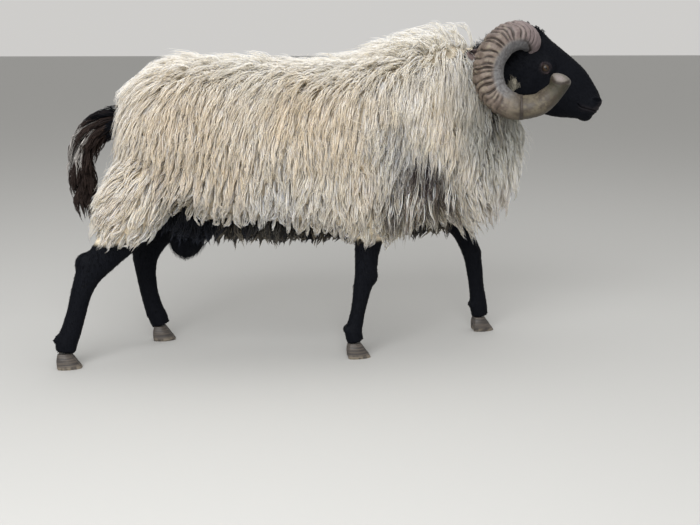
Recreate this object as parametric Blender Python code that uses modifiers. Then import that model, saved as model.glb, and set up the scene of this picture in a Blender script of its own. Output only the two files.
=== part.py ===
"""A blackface ram in full fleece, life size, as a still museum model in a slow walk.

Run with: blender --background --python part.py

Metres, +Z up. +X points to the animal's nose and +Y to its left side. Each named part is one
closed solid in its own object, with a gap of about 0.3 mm between neighbours.
"""

import math
import random

import bmesh
import bpy
import numpy as np
from mathutils import Matrix, Vector
from mathutils.bvhtree import BVHTree

# Overall
GAP = 0.00042  # between touching parts; a little over 0.3 mm after faceting
MERGE = 0.000004
SEED = 1

# The fleece's core, which reaches about half way from the skin to the tips of the locks
# x of the section, top z, bottom z, half width, how much narrower it is at the top
CORE_SECTIONS = (
    (-0.578, 0.585, 0.500, 0.045, 0.00),
    (-0.558, 0.655, 0.430, 0.105, 0.00),
    (-0.510, 0.705, 0.385, 0.145, 0.02),
    (-0.440, 0.733, 0.355, 0.170, 0.04),
    (-0.340, 0.738, 0.330, 0.188, 0.06),
    (-0.200, 0.730, 0.318, 0.200, 0.06),
    (-0.050, 0.730, 0.315, 0.202, 0.06),
    (0.080, 0.756, 0.318, 0.190, 0.10),
    (0.180, 0.786, 0.325, 0.166, 0.18),
    (0.265, 0.797, 0.345, 0.128, 0.30),
    (0.330, 0.788, 0.372, 0.094, 0.38),
    (0.385, 0.745, 0.405, 0.076, 0.34),
    (0.425, 0.660, 0.445, 0.058, 0.20),
    (0.442, 0.600, 0.490, 0.032, 0.00),
)
CORE_RINGS = 18
CORE_SIDES = 16
CORE_SQUARENESS = 2.3  # exponent of the sections, 2 for an ellipse

# Thighs and shoulders that swell the core above each leg: centre, radii, lean about Y in degrees
LIMB_MASSES = {
    "thigh_right": ((-0.548, -0.112, 0.412), (0.072, 0.066, 0.110), 22.0),
    "thigh_left": ((-0.468, 0.112, 0.412), (0.085, 0.066, 0.105), 0.0),
    "shoulder_right": ((0.040, -0.120, 0.395), (0.088, 0.062, 0.095), 0.0),
    "shoulder_left": ((0.255, 0.105, 0.395), (0.085, 0.058, 0.095), -12.0),
}

# Planes that part the fleece: a point and the direction that its front part lies in
RUMP_CUT = ((-0.335, 0.0, 0.5), (1.0, 0.0, 0.0))
BARREL_CUT = ((-0.055, 0.0, 0.5), (1.0, 0.0, 0.0))
NECK_CUT = ((0.290, 0.0, 0.560), (0.86, 0.0, 0.51))

# Locks of the fleece: flat, three-sided, tapering to a point
LOCK_WIDTH = 0.079
LOCK_THICK = 0.013
LOCK_LENGTH = 0.190
LOCK_SINK = 0.016  # depth of a lock's root in the core
LOCK_ROOT = 0.030  # length of the lock that is in the core
LOCK_LIFT = 0.23  # rise above the core for each metre past the root
LOCK_RINGS = 4
LOCK_WAVE = 0.006
SCATTER = 0.09  # how far a root strays from its place, as a share of the lock's width
CLEAR_TRIES, TRIES = 5, 6  # tries to clear every other lock, then those of other nodes
COLUMN = 0.086  # spacing of the locks along a row
AXIS_BACK, AXIS_FRONT = -0.440, 0.270  # ends of the line that the rows go round
AXIS_HEIGHT = 0.525
NECK_AXIS = ((0.320, 0.570), (0.372, 0.600))  # x, z of the middles of the neck's own rows
NECK_ROWS = (90.0, 50.0, 16.0, -20.0)
NECK_SHARE = 0.68  # size of the neck's locks beside the body's
ROWS = (90.0, 63.0, 38.0, 14.0, -10.0, -33.0)  # degrees up from level, round that line
RUMP_ROWS = (60.0, 34.0, 9.0, -16.0)
RUMP_FAN = (-72.0, -36.0, 0.0, 36.0, 72.0)  # degrees round the rump from its middle
BREAST_ROWS = (12.0, -12.0, -34.0)
BREAST_FAN = (-62.0, -31.0, 0.0, 31.0, 62.0)
COMB_BACK = 0.20  # how far the coat leans to the rear
FRINGE = 0.300  # height of the tips along the belly
SPINE_LIFT, WITHERS_LIFT = 1.4, 2.2  # how much more the locks along the back stand up
WITHERS = 0.06  # x that the mane on the withers starts at
LIMB_FAN = (-150.0, -100.0, -50.0, 0.0)  # degrees round a thigh or shoulder

# Locks of the tail
TAIL_LOCK = (0.026, 0.0075, 0.100)  # width, thickness, length
TAIL_LIFT = 0.11
TAIL_LOCK_ROWS = 5
TAIL_LOCKS_ROUND = 4
TAIL_DROOP = 0.35  # how much more the lowest locks hang than the topmost

# Head, in its own frame: a runs from the poll to the nose, n out of the face, y to the left
POLL = (0.444, 0.0, 0.823)
FACE_SLOPE = 46.0  # degrees that the face drops from level
HEAD_TURN = -15.0  # degrees about Z, towards the animal's right
# a, top n, bottom n, half width
HEAD_SECTIONS = (
    (-0.030, 0.000, -0.070, 0.034),
    (-0.012, 0.024, -0.094, 0.050),
    (0.025, 0.037, -0.116, 0.060),
    (0.065, 0.043, -0.130, 0.063),
    (0.105, 0.049, -0.130, 0.060),
    (0.145, 0.054, -0.120, 0.051),
    (0.185, 0.056, -0.103, 0.043),
    (0.222, 0.050, -0.079, 0.037),
    (0.248, 0.044, -0.055, 0.034),
    (0.268, 0.035, -0.038, 0.029),
    (0.280, 0.022, -0.026, 0.021),
    (0.285, 0.010, -0.014, 0.010),
)
HEAD_RINGS = 20
HEAD_SIDES = 15
EYE = (0.108, 0.0535, -0.014)
EYE_RADIUS = 0.0135
LID = (0.0125, 0.0050)  # radius of the rim of skin round the eye, and of its roll
LID_PROUD = 0.0062  # how far the rim stands out from the eye's middle
LID_STRETCH = (1.25, 1.0, 0.82)
LID_SLANT = -14.0

# Swellings on each side of the head: a, y, n of the middle, and the radii
HEAD_MASSES = {
    "orbit": ((0.105, 0.041, -0.011), (0.033, 0.0215, 0.026)),
    "cheek": ((0.088, 0.036, -0.078), (0.052, 0.027, 0.044)),
    "upper_lip": ((0.256, 0.014, 0.008), (0.027, 0.0195, 0.016)),
    "nose_wing": ((0.260, 0.0130, 0.022), (0.020, 0.0150, 0.0155)),
}
CHIN = ((0.264, 0.0, -0.018), (0.025, 0.0205, 0.0215))
MOUTH = ((0.230, -0.016), (0.247, -0.014), (0.266, -0.003), (0.305, 0.022))  # a, n of its line
MOUTH_OPEN = (0.0007, 0.0013)  # half the gap between the lips, at the corner and in front
NOSTRIL = (0.2630, 0.0225, 0.0275)
NOSTRIL_RADII = (0.0110, 0.0050, 0.0036)
NOSTRIL_TURN, NOSTRIL_TILT = -24.0, -26.0

# Horn: offsets along the level head and up from the poll, distance out to the side, radius
HORN_PATH = (
    (0.026, -0.050, 0.010, 0.022),
    (0.022, -0.021, 0.050, 0.031),
    (-0.006, -0.007, 0.090, 0.0370),
    (-0.044, -0.021, 0.120, 0.0385),
    (-0.072, -0.060, 0.140, 0.0385),
    (-0.078, -0.105, 0.152, 0.0380),
    (-0.060, -0.151, 0.160, 0.0360),
    (-0.012, -0.180, 0.166, 0.0325),
    (0.042, -0.176, 0.170, 0.0285),
    (0.070, -0.157, 0.173, 0.0262),
    (0.0895, -0.136, 0.175, 0.0228),
    (0.099, -0.115, 0.176, 0.0262),
    (0.105, -0.101, 0.177, 0.0190),
)
HORN_RINGS = 45
HORN_SIDES = 9
HORN_RIDGE = 0.055  # height of the growth rings, as a share of the radius
HORN_RIDGE_COUNT = 15
HORN_SMOOTH_FROM = 0.60  # share of the length past which the horn is smooth

# Ear: offsets back along the level head, out to the side and up from the poll
EAR_PATH = ((-0.026, 0.046, -0.063), (-0.082, 0.075, -0.057), (-0.134, 0.111, -0.050))
EAR_WIDTH = 0.042
EAR_THICK = 0.005
EAR_RINGS = 7

# Legs: x, y, z, half depth from front to back, half width
LEGS = {
    "hindleg_right": (
        (-0.561, -0.109, 0.362, 0.056, 0.037),
        (-0.618, -0.114, 0.290, 0.040, 0.027),
        (-0.660, -0.116, 0.245, 0.034, 0.023),
        (-0.684, -0.117, 0.195, 0.0265, 0.0195),
        (-0.700, -0.118, 0.140, 0.0245, 0.0185),
        (-0.716, -0.119, 0.092, 0.0260, 0.0200),
        (-0.727, -0.119, 0.066, 0.0270, 0.0215),
        (-0.731, -0.119, 0.044, 0.0255, 0.0215),
    ),
    "hindleg_left": (
        (-0.474, 0.108, 0.358, 0.057, 0.037),
        (-0.520, 0.110, 0.290, 0.045, 0.028),
        (-0.541, 0.112, 0.240, 0.036, 0.023),
        (-0.543, 0.113, 0.195, 0.0285, 0.0195),
        (-0.537, 0.114, 0.140, 0.0245, 0.0185),
        (-0.526, 0.115, 0.092, 0.0250, 0.0200),
        (-0.516, 0.115, 0.066, 0.0260, 0.0215),
        (-0.508, 0.115, 0.044, 0.0250, 0.0215),
    ),
    "foreleg_right": (
        (0.039, -0.110, 0.345, 0.040, 0.031),
        (0.029, -0.112, 0.270, 0.031, 0.026),
        (0.026, -0.113, 0.220, 0.0285, 0.0235),
        (0.017, -0.113, 0.180, 0.0235, 0.0205),
        (0.008, -0.114, 0.130, 0.0195, 0.0180),
        (0.000, -0.114, 0.092, 0.0205, 0.0190),
        (-0.005, -0.115, 0.066, 0.0225, 0.0210),
        (0.000, -0.115, 0.044, 0.0225, 0.0215),
    ),
    "foreleg_left": (
        (0.290, 0.098, 0.350, 0.041, 0.030),
        (0.330, 0.100, 0.280, 0.029, 0.025),
        (0.353, 0.101, 0.225, 0.0250, 0.0225),
        (0.363, 0.102, 0.180, 0.0235, 0.0205),
        (0.370, 0.103, 0.130, 0.0215, 0.0185),
        (0.376, 0.104, 0.092, 0.0235, 0.0195),
        (0.379, 0.104, 0.066, 0.0245, 0.0210),
        (0.383, 0.105, 0.044, 0.0235, 0.0215),
    ),
}
LEG_RINGS = 13
LEG_SIDES = 8
DEWCLAW_RADII = (0.0085, 0.0062, 0.0105)

# Hooves: two claws under each leg
CLAW_LENGTH = 0.056
CLAW_HEIGHT = 0.040
CLAW_WIDTH = 0.0215
CLEFT = 0.0030  # gap between the two claws at the sole
TOE_TURN = 5.0  # degrees that each claw's toe turns in

# Tail: x, y, z, radius of the core
TAIL_PATH = (
    (-0.540, 0.0, 0.612, 0.026),
    (-0.590, 0.0, 0.607, 0.026),
    (-0.640, 0.0, 0.586, 0.025),
    (-0.672, 0.0, 0.545, 0.024),
    (-0.682, 0.0, 0.495, 0.022),
    (-0.679, 0.0, 0.445, 0.017),
    (-0.677, 0.0, 0.395, 0.008),
)
TAIL_SPLIT = 19  # fortieths of the tail that are in its upper part
TAIL_RINGS = 13
TAIL_SIDES = 8

SCROTUM = ((-0.425, 0.0, 0.308), (0.050, 0.040, 0.060), 14.0)
SCROTUM_NECK = ((-0.418, 0.0, 0.357), (0.034, 0.030, 0.036), 0.0)

# colour, roughness
FINISHES = {
    "fleece": ((0.71, 0.64, 0.52), 0.95),
    "black_hair": ((0.022, 0.022, 0.027), 0.62),
    "horn": ((0.43, 0.33, 0.25), 0.55),
    "eye": ((0.10, 0.055, 0.02), 0.12),
    "hoof": ((0.050, 0.043, 0.038), 0.5),
}


def spline(rows, count):
    """Rows of numbers read evenly along a Catmull-Rom curve through the given rows."""
    rows = np.asarray(rows, float)
    padded = np.vstack([2 * rows[0] - rows[1], rows, 2 * rows[-1] - rows[-2]])
    found = []
    for t in np.linspace(0, len(rows) - 1, count):
        i = min(int(t), len(rows) - 2)
        u = t - i
        a, b, c, d = padded[i : i + 4]
        cubic = (3 * b - a - 3 * c + d) * u**3
        found.append((2 * b + (c - a) * u + (2 * a - 5 * b + 4 * c - d) * u**2 + cubic) / 2)
    return np.array(found)


def new_object(name, mesh):
    made = bpy.data.objects.new(name, mesh)
    bpy.data.collections["ram"].objects.link(made)
    return made


def loft(name, rings):
    """A closed solid through rings of points, with its two ends capped."""
    form = bmesh.new()
    rows = [[form.verts.new(p) for p in ring] for ring in rings]
    sides = len(rings[0])
    for low, high in zip(rows, rows[1:]):
        for i in range(sides):
            j = (i + 1) % sides
            form.faces.new((low[i], low[j], high[j], high[i]))
    form.faces.new(reversed(rows[0]))
    form.faces.new(rows[-1])
    bmesh.ops.recalc_face_normals(form, faces=form.faces)
    mesh = bpy.data.meshes.new(name)
    form.to_mesh(mesh)
    form.free()
    return new_object(name, mesh)


def power(value, exponent):
    """A signed power, for superellipse sections."""
    return math.copysign(abs(value) ** exponent, value)


def ellipsoid(name, centre, radii, lean=0.0, segments=10, rings=7):
    """An ellipsoid turned by lean degrees about the Y axis."""
    form = bmesh.new()
    bmesh.ops.create_uvsphere(form, u_segments=segments, v_segments=rings, radius=1.0)
    place = Matrix.Translation(centre) @ Matrix.Rotation(math.radians(lean), 4, "Y")
    bmesh.ops.transform(form, matrix=place @ Matrix.Diagonal((*radii, 1.0)), verts=form.verts)
    mesh = bpy.data.meshes.new(name)
    form.to_mesh(mesh)
    form.free()
    return new_object(name, mesh)


def replace_mesh(obj, mesh):
    old = obj.data
    obj.modifiers.clear()
    obj.data = mesh
    bpy.data.meshes.remove(old)


def combine(obj, others, operation, solver="EXACT"):
    """One Boolean of obj with the collection of others, applied; the others are removed."""
    if not others:
        return obj
    group = bpy.data.collections.new("operands")
    for other in others:
        group.objects.link(other)
    step = obj.modifiers.new("combine", "BOOLEAN")
    step.operation = operation
    step.operand_type = "COLLECTION"
    step.collection = group
    step.solver = solver
    bpy.context.view_layer.update()
    graph = bpy.context.evaluated_depsgraph_get()
    replace_mesh(obj, bpy.data.meshes.new_from_object(obj.evaluated_get(graph)))
    for other in others:
        data = other.data
        bpy.data.objects.remove(other)
        bpy.data.meshes.remove(data)
    bpy.data.collections.remove(group)
    return obj


def close_slivers(obj):
    """Turns obj into triangles and welds those that are thinner than MERGE."""
    form = bmesh.new()
    form.from_mesh(obj.data)
    bmesh.ops.triangulate(form, faces=form.faces)
    bmesh.ops.remove_doubles(form, verts=form.verts, dist=MERGE)
    bmesh.ops.dissolve_degenerate(form, edges=form.edges, dist=MERGE)
    bmesh.ops.triangulate(form, faces=form.faces)
    form.to_mesh(obj.data)
    form.free()


def keep_largest(obj):
    """Drops every closed surface of obj but the one with the largest box."""
    form = bmesh.new()
    form.from_mesh(obj.data)
    left = set(form.faces)
    islands = []
    while left:
        reached = {left.pop()}
        border = list(reached)
        while border:
            joints = [e for face in border for e in face.edges if len(e.link_faces) == 2]
            near = {face for e in joints for face in e.link_faces} - reached
            reached |= near
            border = list(near)
        left -= reached
        islands.append(reached)

    def size(island):
        points = np.array([v.co for face in island for v in face.verts])
        return float(np.prod(points.max(0) - points.min(0)))

    largest = max(islands, key=size)
    loose = [face for face in form.faces if face not in largest]
    bmesh.ops.delete(form, geom=loose, context="FACES")
    form.to_mesh(obj.data)
    form.free()
    return obj


def swollen(obj, by=GAP):
    """A copy of obj with its surface moved out by a little, to cut a fitting socket."""
    form = bmesh.new()
    form.from_mesh(obj.data)
    form.normal_update()
    moves = [v.normal * by for v in form.verts]
    for v, move in zip(form.verts, moves):
        v.co += move
    mesh = bpy.data.meshes.new("cutter")
    form.to_mesh(mesh)
    form.free()
    return new_object("cutter", mesh)


def clear_of(obj, neighbours):
    """Cuts obj back so that it meets each neighbour face to face across the gap."""
    combine(obj, [swollen(n) for n in neighbours], "DIFFERENCE")
    return keep_largest(obj)


def copy_of(obj, name):
    return new_object(name, obj.data.copy())


def half(obj, cut, front):
    """Keeps the part of obj in front of a cutting plane, or behind it, less half the gap."""
    point, direction = Vector(cut[0]), Vector(cut[1]).normalized()
    side = 1.0 if front else -1.0
    form = bmesh.new()
    form.from_mesh(obj.data)
    everything = [*form.verts, *form.edges, *form.faces]
    bmesh.ops.bisect_plane(
        form,
        geom=everything,
        plane_co=point + direction * side * GAP / 2,
        plane_no=direction,
        clear_outer=not front,
        clear_inner=front,
    )
    rim = [e for e in form.edges if e.is_boundary]
    bmesh.ops.holes_fill(form, edges=rim, sides=0)
    bmesh.ops.recalc_face_normals(form, faces=form.faces)
    form.to_mesh(obj.data)
    form.free()
    return obj


# Fleece core


def core_ring(section):
    """The points of one upright section of the fleece."""
    x, top, bottom, half_width, narrowing = section
    middle, height = (top + bottom) / 2, (top - bottom) / 2
    share = 2 / CORE_SQUARENESS
    ring = []
    for k in range(CORE_SIDES):
        turn = 2 * math.pi * k / CORE_SIDES
        up = power(math.cos(turn), share)
        y = half_width * power(math.sin(turn), share) * (1 - narrowing * up)
        z = middle + height * up
        ring.append((x, y, z))
    return ring


def fleece_core():
    """The whole body without its locks: the trunk and neck with the thighs and shoulders."""
    core = loft("core", [core_ring(s) for s in spline(CORE_SECTIONS, CORE_RINGS)])
    masses = [ellipsoid(name, *mass, 10, 6) for name, mass in LIMB_MASSES.items()]
    combine(core, masses, "UNION")
    return keep_largest(core)


# Locks


def rise(travelled, lift):
    """Height of a lock above the core at a distance from its root."""
    out_of_core = min(1.0, travelled / LOCK_ROOT)
    return (LOCK_SINK + 0.006) * out_of_core - LOCK_SINK + lift * max(0.0, travelled - LOCK_ROOT)


def lock_path(skin, root, lean, length, lift):
    """Follows a lock over the core from its sunk root, as points and the ways that they face."""
    near, facing, _index, _distance = skin.find_nearest(root)
    point = near - facing * LOCK_SINK
    steps = LOCK_RINGS * 3
    stride = length / steps
    path = [(point.copy(), facing.copy())]
    for step in range(1, steps + 1):
        into = lean.dot(facing)
        way = lean - facing * into if into < 0 else lean.copy()
        point = point + way.normalized() * stride
        near, normal, _index, _distance = skin.find_nearest(point)
        height = (point - near).dot(normal)
        wanted = rise(step * stride, lift)
        if height < wanted:
            point = near + normal * wanted
        facing = facing.lerp(normal, 0.5).normalized()
        path.append((point.copy(), facing.copy()))
    return path[::3]


def lock_form(path, width, thick, wave=0.0):
    """Points and faces of one lock: a flat underside with a ridge along its back."""
    points, faces = [], []
    rings = len(path) - 1
    for i, (point, facing) in enumerate(path[:-1]):
        share = i / rings
        along = (path[i + 1][0] - path[max(0, i - 1)][0]).normalized()
        out = (facing - along * facing.dot(along)).normalized()
        across = along.cross(out)
        breadth = width * (0.74 + 0.9 * share - 1.35 * share**2)
        middle = point + across * wave * math.sin(2.4 * math.pi * share)
        points.append(middle + across * breadth / 2)
        points.append(middle + out * thick * (1 - 0.7 * share))
        points.append(middle - across * breadth / 2)
        if i:
            base = 3 * i
            for k in range(3):
                j = (k + 1) % 3
                faces.append((base - 3 + k, base + k, base + j, base - 3 + j))
    tip = len(points)
    points.append(path[-1][0])
    faces.append((0, 1, 2))
    for k in range(3):
        faces.append((tip - 3 + k, tip, tip - 3 + (k + 1) % 3))
    return points, faces


class Coat:
    """Places locks on the nodes of a coat, keeping those of one node off every other node."""

    def __init__(self, skin, pieces, solids):
        self.skin = skin
        self.chance = random.Random(SEED)
        self.locks = {name: [] for name in pieces}
        self.cores = {name: surface(obj) for name, obj in pieces.items()}
        self.taken = [("", surface(obj)) for obj in solids]

    def add(self, node, root, lean, size, lift=LOCK_LIFT, lowest=0.0):
        """Adds one lock, made shorter and higher until it is clear, or left out."""
        width, thick, length = (value * self.chance.uniform(0.86, 1.14) for value in size)
        stray = [self.chance.uniform(-SCATTER, SCATTER) * width for _axis in range(3)]
        root = root + Vector(stray)
        drop = root.z - lowest - self.chance.uniform(-0.012, 0.030)
        length = min(length, max(drop, 0.5 * length))
        wave = LOCK_WAVE * self.chance.uniform(-1, 1)
        lift *= self.chance.uniform(0.8, 1.25)
        for attempt in range(CLEAR_TRIES + TRIES):
            path = lock_path(self.skin, root, lean, length, lift)
            roomy = lock_form(path, width + 0.0016, thick + 0.0012, wave)
            shape = BVHTree.FromPolygons(*roomy)
            near = [core for name, core in self.cores.items() if name != node]
            near += [other for name, other in self.taken if name != node or attempt < CLEAR_TRIES]
            if not any(shape.overlap(other) for other in near):
                made = lock_form(path, width, thick, wave)
                self.locks[node].append(made)
                self.taken.append((node, BVHTree.FromPolygons(*made)))
                return
            lift *= 1.14
            if attempt >= CLEAR_TRIES:
                length *= 0.84
                width *= 0.93

    def fuse(self, node, obj):
        """Joins a node's locks to its core; EXACT leaves some of their crossings open."""
        pieces = []
        for points, faces in self.locks[node]:
            mesh = bpy.data.meshes.new("lock")
            mesh.from_pydata(points, [], faces)
            pieces.append(new_object("lock", mesh))
        combine(obj, pieces, "UNION", "MANIFOLD")
        close_slivers(obj)
        return keep_largest(obj)


def surface_of_all(objects):
    """The faces of objects as one tree, in a settled order, to find places on."""
    triangles = []
    for obj in objects:
        form = bmesh.new()
        form.from_mesh(obj.data)
        bmesh.ops.triangulate(form, faces=form.faces)
        for face in form.faces:
            corners = [tuple(round(x, 6) for x in v.co) for v in face.verts]
            first = corners.index(min(corners))
            triangles.append(tuple(corners[first:] + corners[:first]))
        form.free()
    triangles.sort()
    points = [corner for triangle in triangles for corner in triangle]
    return BVHTree.FromPolygons(points, [(i, i + 1, i + 2) for i in range(0, len(points), 3)])


def surface(obj):
    """One object's faces as such a tree."""
    return surface_of_all([obj])


def node_at(point, margin):
    """The fleece node that a root belongs to, and the root moved forward out of a cut's way."""
    for name, cut in (("neck", NECK_CUT), ("shoulders", BARREL_CUT), ("barrel", RUMP_CUT)):
        forward = Vector(cut[1]).normalized()
        ahead = (point - Vector(cut[0])).dot(forward)
        if ahead > margin:
            return name, point
        if ahead > -margin:
            return name, point + forward * (margin - ahead)
    return "rump", point


def comb(point, facing):
    """The way that the wool is laid at a place on the body."""
    side = math.copysign(1.0, point.y) if abs(point.y) > 0.01 else 0.0
    back = COMB_BACK + 0.9 * max(0.0, facing.z) ** 2
    if point.x < RUMP_CUT[0][0]:
        back += 0.35
    return Vector((-back, 0.22 * side, -1.0)).normalized()


def upright(x, z, degrees, side):
    """A ray square to the body's length, so many degrees up from level."""
    up = math.radians(degrees)
    return Vector((x, 0, z)), Vector((0, side * math.cos(up), math.sin(up)))


def row_rays():
    """Origins and directions of the rays that find the roots of the fleece's locks, and sizes."""
    columns = int(round((AXIS_FRONT - AXIS_BACK) / COLUMN))
    for row, up in enumerate(ROWS):
        for column in range(columns + 1):
            x = AXIS_BACK + (column + 0.5 * (row % 2) - 0.25) * COLUMN
            for side in (-1, 1) if up < 90 else (1,):
                yield *upright(x, AXIS_HEIGHT, up, side), 1.0
    for x, z in NECK_AXIS:
        for up in NECK_ROWS:
            for side in (-1, 1) if up < 90 else (1,):
                yield *upright(x, z, up, side), NECK_SHARE
    for x, rows, fan, front in (
        (AXIS_BACK, RUMP_ROWS, RUMP_FAN, -1),
        (AXIS_FRONT, BREAST_ROWS, BREAST_FAN, 1),
    ):
        for row, up in enumerate(rows):
            for turn in fan:
                around = math.radians(turn + (8 if row % 2 else -8))
                level, climb = math.cos(math.radians(up)), math.sin(math.radians(up))
                way = Vector((front * level * math.cos(around), level * math.sin(around), climb))
                yield Vector((x, 0, AXIS_HEIGHT)), way, 1.0


def grow_fleece(core, pieces, solids):
    """Covers the body's nodes with locks that hang along the lie of the wool."""
    coat = Coat(surface(core), pieces, solids)
    size = (LOCK_WIDTH, LOCK_THICK, LOCK_LENGTH)
    for origin, way, share in row_rays():
        place, facing, _index, _distance = coat.skin.ray_cast(origin, way)
        node, place = node_at(place, 0.5 * LOCK_WIDTH * share)
        lift = LOCK_LIFT
        if facing.z > 0.9:
            lift *= WITHERS_LIFT if place.x > WITHERS else SPINE_LIFT
        coat.add(node, place, comb(place, facing), [share * part for part in size], lift, FRINGE)
    for centre, _radii, _lean in LIMB_MASSES.values():
        for turn in LIMB_FAN:
            around = math.radians(turn)
            outward = -math.copysign(1.0, centre[1])
            way = Vector((math.cos(around), math.sin(around) * outward, -0.15))
            place, facing, _index, _distance = coat.skin.ray_cast(Vector(centre), way)
            node, place = node_at(place, 0.4 * LOCK_WIDTH)
            coat.add(node, place, comb(place, facing), size, LOCK_LIFT, FRINGE - 0.02)
    for name, obj in pieces.items():
        coat.fuse(name, obj)


def grow_tail(tail, solids):
    """Covers the two lengths of the tail with narrow locks that run along it."""
    whole = surface_of_all(tail)
    upper, lower = tail
    coat = Coat(whole, {"tail_root": upper, "tail_brush": lower}, solids)
    rows = spline(TAIL_PATH, TAIL_LOCK_ROWS + 2)
    cut, forward = tail_cut()
    for row in range(TAIL_LOCK_ROWS):
        place, way = Vector(rows[row][:3]), Vector(rows[row + 1][:3]) - Vector(rows[row][:3])
        side = way.cross(Vector((0, 1, 0))).normalized()
        for k in range(TAIL_LOCKS_ROUND):
            turn = 2 * math.pi * (k + 0.5 * (row % 2)) / TAIL_LOCKS_ROUND
            out = side * math.cos(turn) + Vector((0, math.sin(turn), 0))
            root = place + out * rows[row][3]
            ahead = (root - cut).dot(forward)
            node = "tail_brush" if ahead > 0 else "tail_root"
            if abs(ahead) < TAIL_LOCK[0] / 2:
                root += forward * (math.copysign(TAIL_LOCK[0] / 2, ahead) - ahead)
            lean = way.normalized() + Vector((0, 0, -TAIL_DROOP * row / TAIL_LOCK_ROWS))
            coat.add(node, root, lean.normalized(), TAIL_LOCK, TAIL_LIFT)
    coat.fuse("tail_root", upper)
    coat.fuse("tail_brush", lower)


# Head


def head_matrix():
    """Carries the head's own a, y, n onto the animal."""
    slope, turn = math.radians(FACE_SLOPE), math.radians(HEAD_TURN)
    along = Vector((math.cos(slope), 0, -math.sin(slope)))
    out = Vector((math.sin(slope), 0, math.cos(slope)))
    axes = Matrix((along, Vector((0, 1, 0)), out)).transposed().to_4x4()
    return Matrix.Translation(POLL) @ Matrix.Rotation(turn, 4, "Z") @ axes


def level_matrix():
    """Carries offsets along the level head, out to the side and up from the poll."""
    return Matrix.Translation(POLL) @ Matrix.Rotation(math.radians(HEAD_TURN), 4, "Z")


def head_ring(section):
    """A section of the head, narrower along the nose's bridge than at the cheeks."""
    a, top, bottom, half_width = section
    middle, height = (top + bottom) / 2, (top - bottom) / 2
    ring = []
    for k in range(HEAD_SIDES):
        turn = 2 * math.pi * k / HEAD_SIDES
        up = power(math.cos(turn), 0.92)
        narrow = 1.0 - 0.16 * max(0.0, up) - 0.10 * max(0.0, -up)
        y = half_width * power(math.sin(turn), 0.92) * narrow
        ring.append((a, y, middle + height * up))
    return ring


def mouth_slit():
    """A thin plate that parts the lips, curved up a little at the corner of the mouth."""
    rings = []
    back, front = MOUTH[0][0], MOUTH[-1][0]
    reach = 0.06  # past both cheeks
    for a, n in spline(MOUTH, 7):
        opening = MOUTH_OPEN[0] + (MOUTH_OPEN[1] - MOUTH_OPEN[0]) * (a - back) / (front - back)
        corners = ((-reach, -opening), (reach, -opening), (reach, opening), (-reach, opening))
        rings.append([(a, y, n + high) for y, high in corners])
    return loft("mouth", rings)


def lid(side):
    """The rim of skin round an eye: a ring that is longer than it is high."""
    a, y, n = EYE
    bpy.ops.mesh.primitive_torus_add(
        major_segments=14, minor_segments=5, major_radius=LID[0], minor_radius=LID[1]
    )
    rim = bpy.context.object
    face_out = Matrix.Rotation(math.radians(-90 * side), 4, "X")
    stretch = Matrix.Diagonal((*LID_STRETCH, 1.0))
    slant = Matrix.Rotation(math.radians(LID_SLANT), 4, "Y")
    place = Matrix.Translation((a, side * (y + LID_PROUD), n)) @ slant @ stretch @ face_out
    rim.data.transform(place)
    return rim


def build_head(eyes):
    """Skull, muzzle, cheeks, lids, lips and nostrils as one solid, with sockets for the eyes."""
    head = loft("head", [head_ring(s) for s in spline(HEAD_SECTIONS, HEAD_RINGS)])
    added = []
    for side in (-1, 1):
        for name, ((a, y, n), radii) in HEAD_MASSES.items():
            added.append(ellipsoid(name, (a, side * y, n), radii))
        added.append(lid(side))
    added.append(ellipsoid("chin", *CHIN))
    combine(head, added, "UNION")
    keep_largest(head)
    cuts = [mouth_slit()]
    for side in (-1, 1):
        nostril = ellipsoid("nostril", (0.0, 0.0, 0.0), NOSTRIL_RADII, 0.0, 8, 6)
        a, y, n = NOSTRIL
        turn = Matrix.Rotation(math.radians(side * NOSTRIL_TURN), 4, "Z")
        tilt = Matrix.Rotation(math.radians(NOSTRIL_TILT), 4, "Y")
        nostril.data.transform(Matrix.Translation((a, side * y, n)) @ turn @ tilt)
        cuts.append(nostril)
    combine(head, cuts, "DIFFERENCE")
    keep_largest(head)
    head.data.transform(head_matrix())
    return clear_of(head, eyes)


def build_eye(name, side):
    a, y, n = EYE
    eye = ellipsoid(name, (a, side * y, n), (EYE_RADIUS,) * 3, 0.0, 12, 8)
    eye.data.transform(head_matrix())
    return eye


def build_horn(name, side):
    """A curled horn with a blunt tip, three-sided in section and ringed by its growth."""
    rows = spline(HORN_PATH, HORN_RINGS)
    along = np.gradient(rows[:, :3], axis=0)
    rings = []
    outward = Vector((0, 1, 0))
    for i, (x, up, out, radius) in enumerate(rows):
        share = i / (HORN_RINGS - 1)
        tangent = Vector((along[i][0], along[i][2], along[i][1])).normalized()
        outward = (outward - tangent * outward.dot(tangent)).normalized()
        inward = tangent.cross(outward)
        wave = math.cos(2 * math.pi * HORN_RIDGE_COUNT * share / HORN_SMOOTH_FROM)
        fade = min(1.0, max(0.0, (HORN_SMOOTH_FROM - share) / 0.08))
        ring = []
        for k in range(HORN_SIDES):
            turn = 2 * math.pi * k / HORN_SIDES
            keel = 1 + 0.09 * math.cos(3 * turn + 0.6)
            r = radius * keel * (1 + HORN_RIDGE * wave * fade)
            offset = outward * math.cos(turn) * r * 0.96 + inward * math.sin(turn) * r
            point = Vector((x, out, up)) + offset
            ring.append((point.x, side * point.y, point.z))
        rings.append(ring)
    horn = loft(name, rings)
    horn.data.transform(level_matrix())
    return horn


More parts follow.
